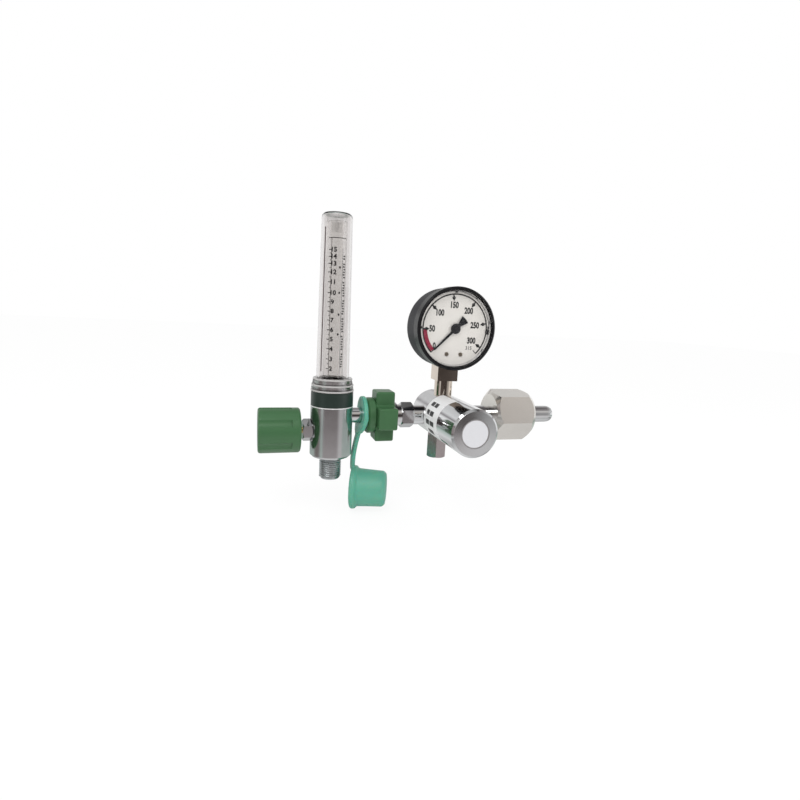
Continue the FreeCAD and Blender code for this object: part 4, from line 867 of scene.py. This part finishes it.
# %% Numbers, lines and four small blocks
NUMBER_SIDE = -23.0
LINE_SIDE = -35.0
MARK_SIDE = -43.0
FRAME_SIDE = 52.0
INNER_SIDE = 27.0
FRAME_TOP = 109.0 * MM
FRAME_MIDDLE = 67.0 * MM
FRAME_HEIGHT = 84.0 * MM
heights = {15: 102.1, 14: 98.1, 13: 94.0, 12: 89.0, 11: 83.2, 10: 76.8, 9: 71.3, 8: 65.8}
heights.update({7: 60.4, 6: 54.5, 5: 48.8, 4: 42.9, 3: 36.6, 2: 30.6})
scale = []
for value, z in heights.items():
    scale.append(bent(lettering(str(value), 2.7 * MM, 0.00016), NUMBER_SIDE, z * MM))
scale.append(bent(bar(0.34 * MM, FRAME_HEIGHT, 2), LINE_SIDE, FRAME_MIDDLE))
scale.append(bent(bar(0.20 * MM, FRAME_HEIGHT, 2), FRAME_SIDE, FRAME_MIDDLE))
across = 107.0 * math.pi / 180.0 * scale_radius
scale.append(bent(bar(across, 0.45 * MM, 24), -1.5, FRAME_TOP))
scale.append(bent(bar(0.28 * MM, 78.0 * MM, 2), INNER_SIDE, 64.0 * MM))
for z in (92.0, 77.0, 64.0, 52.0):
    scale.append(bent(bar(1.0 * MM, 1.3 * MM), 12.0, z * MM))
piece("scale_print", joined(scale, "scale_print"), "regulator", ink)

# %% [markdown]
# ## Short marks on the tube
# A mark stands beside each number, and a shorter one half way to the next. On the right runs a
# faint column of dashes in place of the small print. One net sets them all round the tube.

# %% Marks beside the numbers and the faint column
levels = sorted(heights.values())
halves = [(a + b) / 2.0 for a, b in zip(levels, levels[1:])]


def scale_spot(degrees, z):
    """A point on the printed surface."""
    angle = math.radians(degrees)
    return Vector((meter_x + scale_radius * math.sin(angle), -scale_radius * math.cos(angle), z * MM))


def scale_marks(name, points, width, height):
    """Blocks that lie on the tube."""
    made = grow(
        tube_marks,
        dots(points),
        {
            "Centre": (meter_x, 0.0, 0.0),
            "Flatten": (1.0, 1.0, 0.0),
            "Block": (0.06 * MM, width * MM, height * MM),
            "Material": ink,
        },
    )
    piece(name, made, "regulator", ink)


scale_marks("scale_whole_marks", [scale_spot(MARK_SIDE, z) for z in levels], 2.0, 0.5)
scale_marks("scale_half_marks", [scale_spot(MARK_SIDE + 3.0, z) for z in halves], 1.1, 0.36)
faint = [scale_spot(37.0 + 2.0 * (k % 3), 32.0 + 1.55 * k) for k in range(44) if k % 7 != 6]
scale_marks("scale_side_marks", faint, 1.6, 0.85)

# %% [markdown]
# ## A dark line in the clear cover
# The clear walls show a thin, brownish dark edge down their left side, which refraction in them makes. Here
# it is painted as one line: a slim bar that leans with the cover's slope, sunk in its wall, so that the
# clear plastic in front of it softens it.

# %% Line in the wall of the clear cover
# Brownish tint for the cover's dark line: a painted stand-in for the dark edge that refraction makes in the
# clear walls.
painted_line_tint = moulded("painted_line_tint", (0.17, 0.115, 0.115), 0.50, 0.05, 0.00001)
cover_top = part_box("tube_cover")[1].z
DARK_LINE_SIDE = math.radians(-59.0)
DARK_LINE_FROM = 29.0 * MM
DARK_LINE_TO = cover_top - 9.0 * MM


def seam_point(radius, z, aside):
    """A point on the painted dark line, a little to one side of it."""
    angle = DARK_LINE_SIDE + aside / radius
    return (meter_x + radius * math.sin(angle), -radius * math.cos(angle), z)


build = bmesh.new()
corners = []
for z, radius in ((DARK_LINE_FROM, 9.35 * MM), (DARK_LINE_TO, 8.55 * MM)):
    for depth, aside in ((-0.2, -0.28), (-0.2, 0.28), (0.2, 0.28), (0.2, -0.28)):
        corners.append(build.verts.new(seam_point(radius + depth * MM, z, aside * MM)))
bmesh.ops.convex_hull(build, input=corners)
bmesh.ops.recalc_face_normals(build, faces=build.faces)
piece("cover_line", meshed(build, "cover_line"), "regulator", painted_line_tint)
print("line from", round(DARK_LINE_FROM / MM, 1), "to", round(DARK_LINE_TO / MM, 1), "mm")

# %% [markdown]
# ## The clear collar
# The tube's clear cover ends in a collar that screws down on the band. Its moulded ridges show as dark and
# light rings, which light makes in the clear plastic; the rings here get a pale, half-clear finish that
# paints their light bands. One net sweeps a round wire along a circle on each point, and three points make
# the three ridges, each a little narrower than the one below.

# %% A net for rings, and the collar's three
ring_net, ports, result = new_net(
    "rings",
    [
        ("Radius", "NodeSocketFloat", 0.013),
        ("Wire", "NodeSocketFloat", 0.0005),
        ("Material", "NodeSocketMaterial", None),
    ],
)
wide = {"Resolution": 96, "Radius": ports["Radius"]}
thin = {"Resolution": 10, "Radius": ports["Wire"]}
loop = make(ring_net, "GeometryNodeCurvePrimitiveCircle", {}, wide)
section = make(ring_net, "GeometryNodeCurvePrimitiveCircle", {}, thin)
hoop = make(ring_net, "GeometryNodeCurveToMesh", {}, {"Curve": loop, "Profile Curve": section})
copies = {"Points": ports["Geometry"], "Instance": hoop}
stack = make(ring_net, "GeometryNodeInstanceOnPoints", {}, copies)
close_net(ring_net, ports, result, stack)
band_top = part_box("meter_band")[1].z
collar_rings = {
    "collar_ring_low": (13.2, 0.8),
    "collar_ring_mid": (12.85, 4.2),
    "collar_ring_high": (12.0, 7.9),
}
# The rings' pale, half-clear finish paints the light bands of the ridges.
for label, (radius, rise) in collar_rings.items():
    made = grow(
        ring_net,
        dots([(meter_x, 0.0, band_top + rise * MM)]),
        {"Radius": radius * MM, "Wire": 0.6 * MM, "Material": ridge_highlight_paint},
    )
    made.shade_smooth()
    piece(label, made, "regulator", ridge_highlight_paint)

# %% [markdown]
# ## Two thin rings
# A narrow groove parts the white disc from the front of the bonnet, and its grey is painted shade in that
# gap. A thin lip shows under the dark band of the flowmeter, with a pale finish that paints the highlight
# on its edge. Both are thin turned rings in their own finishes.

# %% Groove round the disc and lip under the band
disc_low, disc_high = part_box("front_disc")
disc_radius = (disc_high.x - disc_low.x) / 2.0
groove_outline = [
    (0.0, disc_radius - 0.75 * MM),
    (-0.1 * MM, disc_radius - 0.55 * MM),
    (-0.1 * MM, disc_radius - 0.05 * MM),
    (0.0, disc_radius - 0.02 * MM),
]
# The grey ring paints the shade in the gap round the disc.
groove = lathe(groove_outline, (regulator_x, disc_low.y, 0), (0, 1, 0), 96)
piece("disc_groove", groove, "regulator", groove_shade_paint)
band_low, band_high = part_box("meter_band")
band_radius = (band_high.x - band_low.x) / 2.0
LIP_HEIGHT = 0.55 * MM
lip_inner = band_radius - 0.3 * MM
lip_outer = band_radius + 0.12 * MM
lip_outline = [(0.0, lip_inner), (0.0, lip_outer), (LIP_HEIGHT, lip_outer), (LIP_HEIGHT, lip_inner)]
# The lip's pale finish paints the highlight on the band's lower edge.
lip = lathe(lip_outline, (meter_x, 0, band_low.z), (0, 0, 1), 96)
piece("band_lip", lip, "regulator", lip_highlight_paint)

# %% [markdown]
# ## The label round the body
# A white film wraps the left side of the regulator. Its print is left as plain dark bars: four
# rows that run along the body, three of them broken in two as words would be.

# %% Dark bars on the label
body_radius = (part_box("bonnet")[1].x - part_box("bonnet")[0].x) / 2.0
film = body_radius + 0.2 * MM


def body_bar(first_y, last_y, degrees, width):
    """A bar along the body; degrees run from +X towards +Z."""
    build = bmesh.new()
    columns = 6
    rows = []
    for k in range(columns + 1):
        angle = math.radians(degrees) + (k / columns - 0.5) * width * MM / film
        x = regulator_x + film * math.cos(angle)
        z = film * math.sin(angle)
        rows.append((build.verts.new((x, first_y * MM, z)), build.verts.new((x, last_y * MM, z))))
    for (a, b), (c, d) in zip(rows, rows[1:]):
        build.faces.new((a, b, d, c))
    for face in build.faces:
        face.normal_update()
        outward = face.calc_center_median() - Vector((regulator_x, face.calc_center_median().y, 0))
        if face.normal.dot(outward) < 0:
            face.normal_flip()
    return meshed(build, "bar")


BAR_WIDTH = 3.2
label_rows = {
    138.0: ((-11.5, -16.5), (-17.5, -22.5)),
    162.0: ((-11.0, -15.5), (-16.6, -22.5)),
    186.0: ((-11.5, -17.5), (-18.6, -25.5)),
    210.0: ((-13.0, -22.5),),
}
bars = []
for degrees, words in label_rows.items():
    for first_y, last_y in words:
        bars.append(body_bar(first_y, last_y, degrees, BAR_WIDTH))
piece("label_bars", joined(bars, "label_bars"), "regulator", ink)

# %% [markdown]
# ## The hanging cap
# Ring, strap and cup are one soft moulding, so no sharp joint shows between them. The three
# forms are made apart and melted together at the end. The cup is turned from an outline, and so
# is the ring, whose lower half then leans towards the flowmeter as the soft one does.

# %% Cup and ring
RING_RADIUS = 12.4 * MM
RING_BORE = 5.1 * MM
HALF_RING = 1.4 * MM
CUP_TURN = math.radians(-19.0)
cup_z = -48.6 * MM
cup_radius = 12.3 * MM
flange_radius = cup_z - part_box("tether_cap")[0].z
ring_x = meter_x + 20.3 * MM
cup_outline = [
    (0.2 * MM, 10.2 * MM),
    (0.2 * MM, flange_radius - 1.2 * MM),
    (1.3 * MM, flange_radius - 0.2 * MM),
    (3.6 * MM, flange_radius - 0.4 * MM),
    (4.9 * MM, cup_radius + 0.3 * MM),
    (12.0 * MM, cup_radius - 0.1 * MM),
    (21.5 * MM, cup_radius - 0.5 * MM),
    (23.3 * MM, cup_radius - 2.0 * MM),
    (23.7 * MM, cup_radius - 5.0 * MM),
    (23.8 * MM, 0.0),
    (21.4 * MM, 0.0),
    (21.1 * MM, 9.4 * MM),
]
mouth = Vector((meter_x + 14.2 * MM, 0.0, cup_z))
turned_way = Matrix.Rotation(CUP_TURN, 3, "Z") @ Vector((1.0, 0.0, 0.0))
cup = lathe(cup_outline, mouth, turned_way, 72)
ring_outline = [
    (-HALF_RING, RING_BORE),
    (-HALF_RING, RING_RADIUS),
    (HALF_RING, RING_RADIUS),
    (HALF_RING, RING_BORE),
]
hang_ring = lathe(ring_outline, (ring_x, 0, 0), (1, 0, 0), 72)
for vertex in hang_ring.vertices:
    drop = max(0.0, -vertex.co.z) / RING_RADIUS
    vertex.co.x -= 3.0 * MM * drop**1.5
print("mouth of the cup at", [round(c / MM, 1) for c in mouth])

# %% [markdown]
# ## The strap
# The strap is a flat section swept along one Bezier curve that droops from the ring to the
# cup's flange. Its width and thickness are inputs of the net.

# %% A net for the strap
strap_net, ports, result = new_net(
    "strap",
    [
        ("Width", "NodeSocketFloat", 0.0045),
        ("Thickness", "NodeSocketFloat", 0.0022),
        ("Material", "NodeSocketMaterial", None),
    ],
)
line = make(
    strap_net,
    "GeometryNodeCurvePrimitiveBezierSegment",
    {"mode": "POSITION"},
    {
        "Resolution": 40,
        "Start": (ring_x - 1.6 * MM, 0.0, -8.5 * MM),
        "Start Handle": (ring_x - 3.2 * MM, 0.0, -15.0 * MM),
        "End Handle": (mouth.x - 0.2 * MM, 0.0, -26.0 * MM),
        "End": (mouth.x + 0.9 * MM, 0.0, -37.0 * MM),
    },
)
sideways = {"Curve": line, "Normal": (0.0, 1.0, 0.0)}
upright = make(strap_net, "GeometryNodeSetCurveNormal", {"mode": "FREE"}, sideways)
section = make(
    strap_net,
    "GeometryNodeCurvePrimitiveQuadrilateral",
    {},
    {"Width": ports["Width"], "Height": ports["Thickness"]},
)
belt = make(
    strap_net,
    "GeometryNodeCurveToMesh",
    {},
    {"Curve": upright, "Profile Curve": section, "Fill Caps": True},
)
close_net(strap_net, ports, result, belt)
values = {"Width": 6.0 * MM, "Thickness": 2.4 * MM, "Material": teal}
strap = grow(strap_net, dots([(0, 0, 0)]), values)
print("strap starts at", [round(c / MM, 1) for c in strap.vertices[0].co])

# %% [markdown]
# ## One soft skin
# A voxel remesh melts the three forms into one closed skin, and a few rounds of smoothing make
# the joints between them soft. The skin stands in for the solid of the cap.

# %% Ring, strap and cup melted together
holder = bpy.data.objects.new("cap_parts", joined([cup, hang_ring, strap], "cap_parts"))
remesh = holder.modifiers.new("melt", "REMESH")
remesh.mode = "VOXEL"
remesh.voxel_size = 0.45 * MM
soften = holder.modifiers.new("soften", "SMOOTH")
soften.factor = 0.5
soften.iterations = 6
melted = baked(holder)
melted.shade_smooth()
piece("soft_cap", melted, "cap", teal, ("tether_cap",))

# %% [markdown]
# ## Floor and light
# The part stands on a plain pale floor in a white room. Plating shows little but its room, so
# the room has a darker side behind the camera, where the photographer would stand. Mirror rays
# see that side; the camera and clear plastic see plain white.

# %% Floor
build = bmesh.new()
bmesh.ops.create_grid(build, x_segments=1, y_segments=1, size=3.0)
floor_mesh = meshed(build, "floor")
floor = bpy.data.objects.new("floor", floor_mesh)
floor.location = (0.0, 0.0, cad_low.z - 0.3 * MM)
bpy.context.collection.objects.link(floor)
floor_paint = bpy.data.materials.new("floor")
floor_paint.use_nodes = True
tree = floor_paint.node_tree
diffuse = tree.nodes["Principled BSDF"]
diffuse.inputs["Base Color"].default_value = grey(0.92)
diffuse.inputs["Roughness"].default_value = 1.0
rays = tree.nodes.new("ShaderNodeLightPath")
glow = make(tree, "ShaderNodeEmission", {}, {"Color": grey(1.0), "Strength": 1.0})
seen = Port(tree, rays.outputs["Is Camera Ray"]) * 0.9
mixed = make(tree, "ShaderNodeMixShader", {}, {0: seen, 1: Port(tree, diffuse.outputs[0]), 2: glow})
mirrored = Port(tree, rays.outputs["Is Glossy Ray"])
nothing = make(tree, "ShaderNodeBsdfTransparent")
mixed = make(tree, "ShaderNodeMixShader", {}, {0: mirrored, 1: mixed, 2: nothing})
tree.links.new(mixed.socket, tree.nodes["Material Output"].inputs[0])
floor_mesh.materials.append(floor_paint)
floor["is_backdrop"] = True
print("floor at", round(floor.location.z / MM, 1), "mm")

# %% [markdown]
# ## The room that the plating mirrors
# Only mirror rays see this room. Its bands of grey stand for table, walls, windows and ceiling,
# and its side behind the camera is dark. They give the plating its streaks, while everything
# else is lit by plain white.

# %% Room
world = bpy.data.worlds.new("room")
bpy.context.scene.world = world
world.use_nodes = True
tree = world.node_tree
tree.nodes.clear()
toward = make(tree, "ShaderNodeTexCoord", out=0)
parts = tree.nodes.new("ShaderNodeSeparateXYZ")
tree.links.new(toward.socket, parts.inputs[0])
x_way, y_way, z_way = (Port(tree, parts.outputs[k]) for k in range(3))


def ramp(stops, driver):
    """Colours along a number from 0 to 1."""
    return make(tree, "ShaderNodeValToRGB", {"stops": stops}, {0: driver})


def step(driver, low, high):
    """A soft step from 0 to 1."""
    values = {"Value": driver, "From Min": low, "From Max": high}
    return make(tree, "ShaderNodeMapRange", {"interpolation_type": "SMOOTHSTEP"}, values)


height = z_way * 0.5 + 0.5
bright_room = ramp(
    [
        (0.00, grey(0.80)),
        (0.26, grey(0.30)),
        (0.30, grey(0.75)),
        (0.355, (0.50, 0.58, 0.54, 1.0)),
        (0.38, (0.28, 0.34, 0.31, 1.0)),
        (0.40, (0.32, 0.37, 0.35, 1.0)),
        (0.42, grey(0.90)),
        (0.58, grey(0.94)),
        (0.615, (0.26, 0.24, 0.25, 1.0)),
        (0.65, grey(0.80)),
        (0.72, grey(0.62)),
        (0.80, (0.50, 0.49, 0.48, 1.0)),
        (0.85, (0.34, 0.32, 0.32, 1.0)),
        (0.91, (0.26, 0.24, 0.24, 1.0)),
        (0.94, (0.04, 0.035, 0.035, 1.0)),
        (1.00, grey(0.55)),
    ],
    height,
)
shadow_side = ramp(
    [
        (0.00, grey(0.85)),
        (0.275, (0.62, 0.60, 0.60, 1.0)),
        (0.35, (0.44, 0.41, 0.41, 1.0)),
        (0.39, (0.24, 0.215, 0.215, 1.0)),
        (0.435, (0.060, 0.050, 0.048, 1.0)),
        (0.575, (0.050, 0.042, 0.040, 1.0)),
        (0.66, (0.16, 0.14, 0.14, 1.0)),
        (0.76, (0.55, 0.51, 0.47, 1.0)),
        (1.00, grey(0.62)),
    ],
    height,
)
# The dark side gets lighter towards the right, and a dim warm patch stands at the far left.
lighter = blended(tree, step(x_way, 0.34, 0.62) * 0.5, shadow_side, grey(0.80))
room = blended(tree, step(0.0 - y_way, 0.48, 0.66), bright_room, lighter)
room = blended(tree, step(0.0 - x_way, 0.86, 0.96) * 0.8, room, (0.15, 0.10, 0.10, 1.0))
rays = tree.nodes.new("ShaderNodeLightPath")
mirror = Port(tree, rays.outputs["Is Glossy Ray"])
shade = blended(tree, mirror, grey(1.0), room)
even = make(tree, "ShaderNodeBackground", {}, {"Color": shade, "Strength": 1.0})
output = tree.nodes.new("ShaderNodeOutputWorld")
tree.links.new(even.socket, output.inputs[0])
print("room with", len(tree.nodes), "nodes")

# %% [markdown]
# ## Two soft lamps
# A wide lamp at the upper left gives the plastics their soft highlight, and a weaker one at the
# right fills the shadow. The second stays out of the mirrors, where it would show as a square.


# %% Soft lamps
PART_MIDDLE = (-90, 0, 20)


def soft_lamp(name, place_mm, size, power):
    """A square lamp that faces the part; its place is in millimetres."""
    data = bpy.data.lights.new(name, "AREA")
    data.shape = "SQUARE"
    data.size = size
    data.energy = power
    lamp = bpy.data.objects.new(name, data)
    bpy.context.collection.objects.link(lamp)
    way = Vector(PART_MIDDLE) - Vector(place_mm)
    turn = way.to_track_quat("-Z", "Y").to_matrix().to_4x4()
    lamp.matrix_world = Matrix.Translation(Vector(place_mm) * MM) @ turn
    return lamp


soft_lamp("key", (-500, -500, 700), 0.5, 3.0)
fill = soft_lamp("fill", (400, -400, 350), 0.4, 1.0)
fill.visible_glossy = False

# %% [markdown]
# ## The last look at the sizes
# The box round everything visible is measured, and how far it reaches past the box of the solids is
# printed.

# %% Sizes
low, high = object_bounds()
print("box grows by", [round((a - b) / MM, 2) for a, b in zip(high, cad_high)])
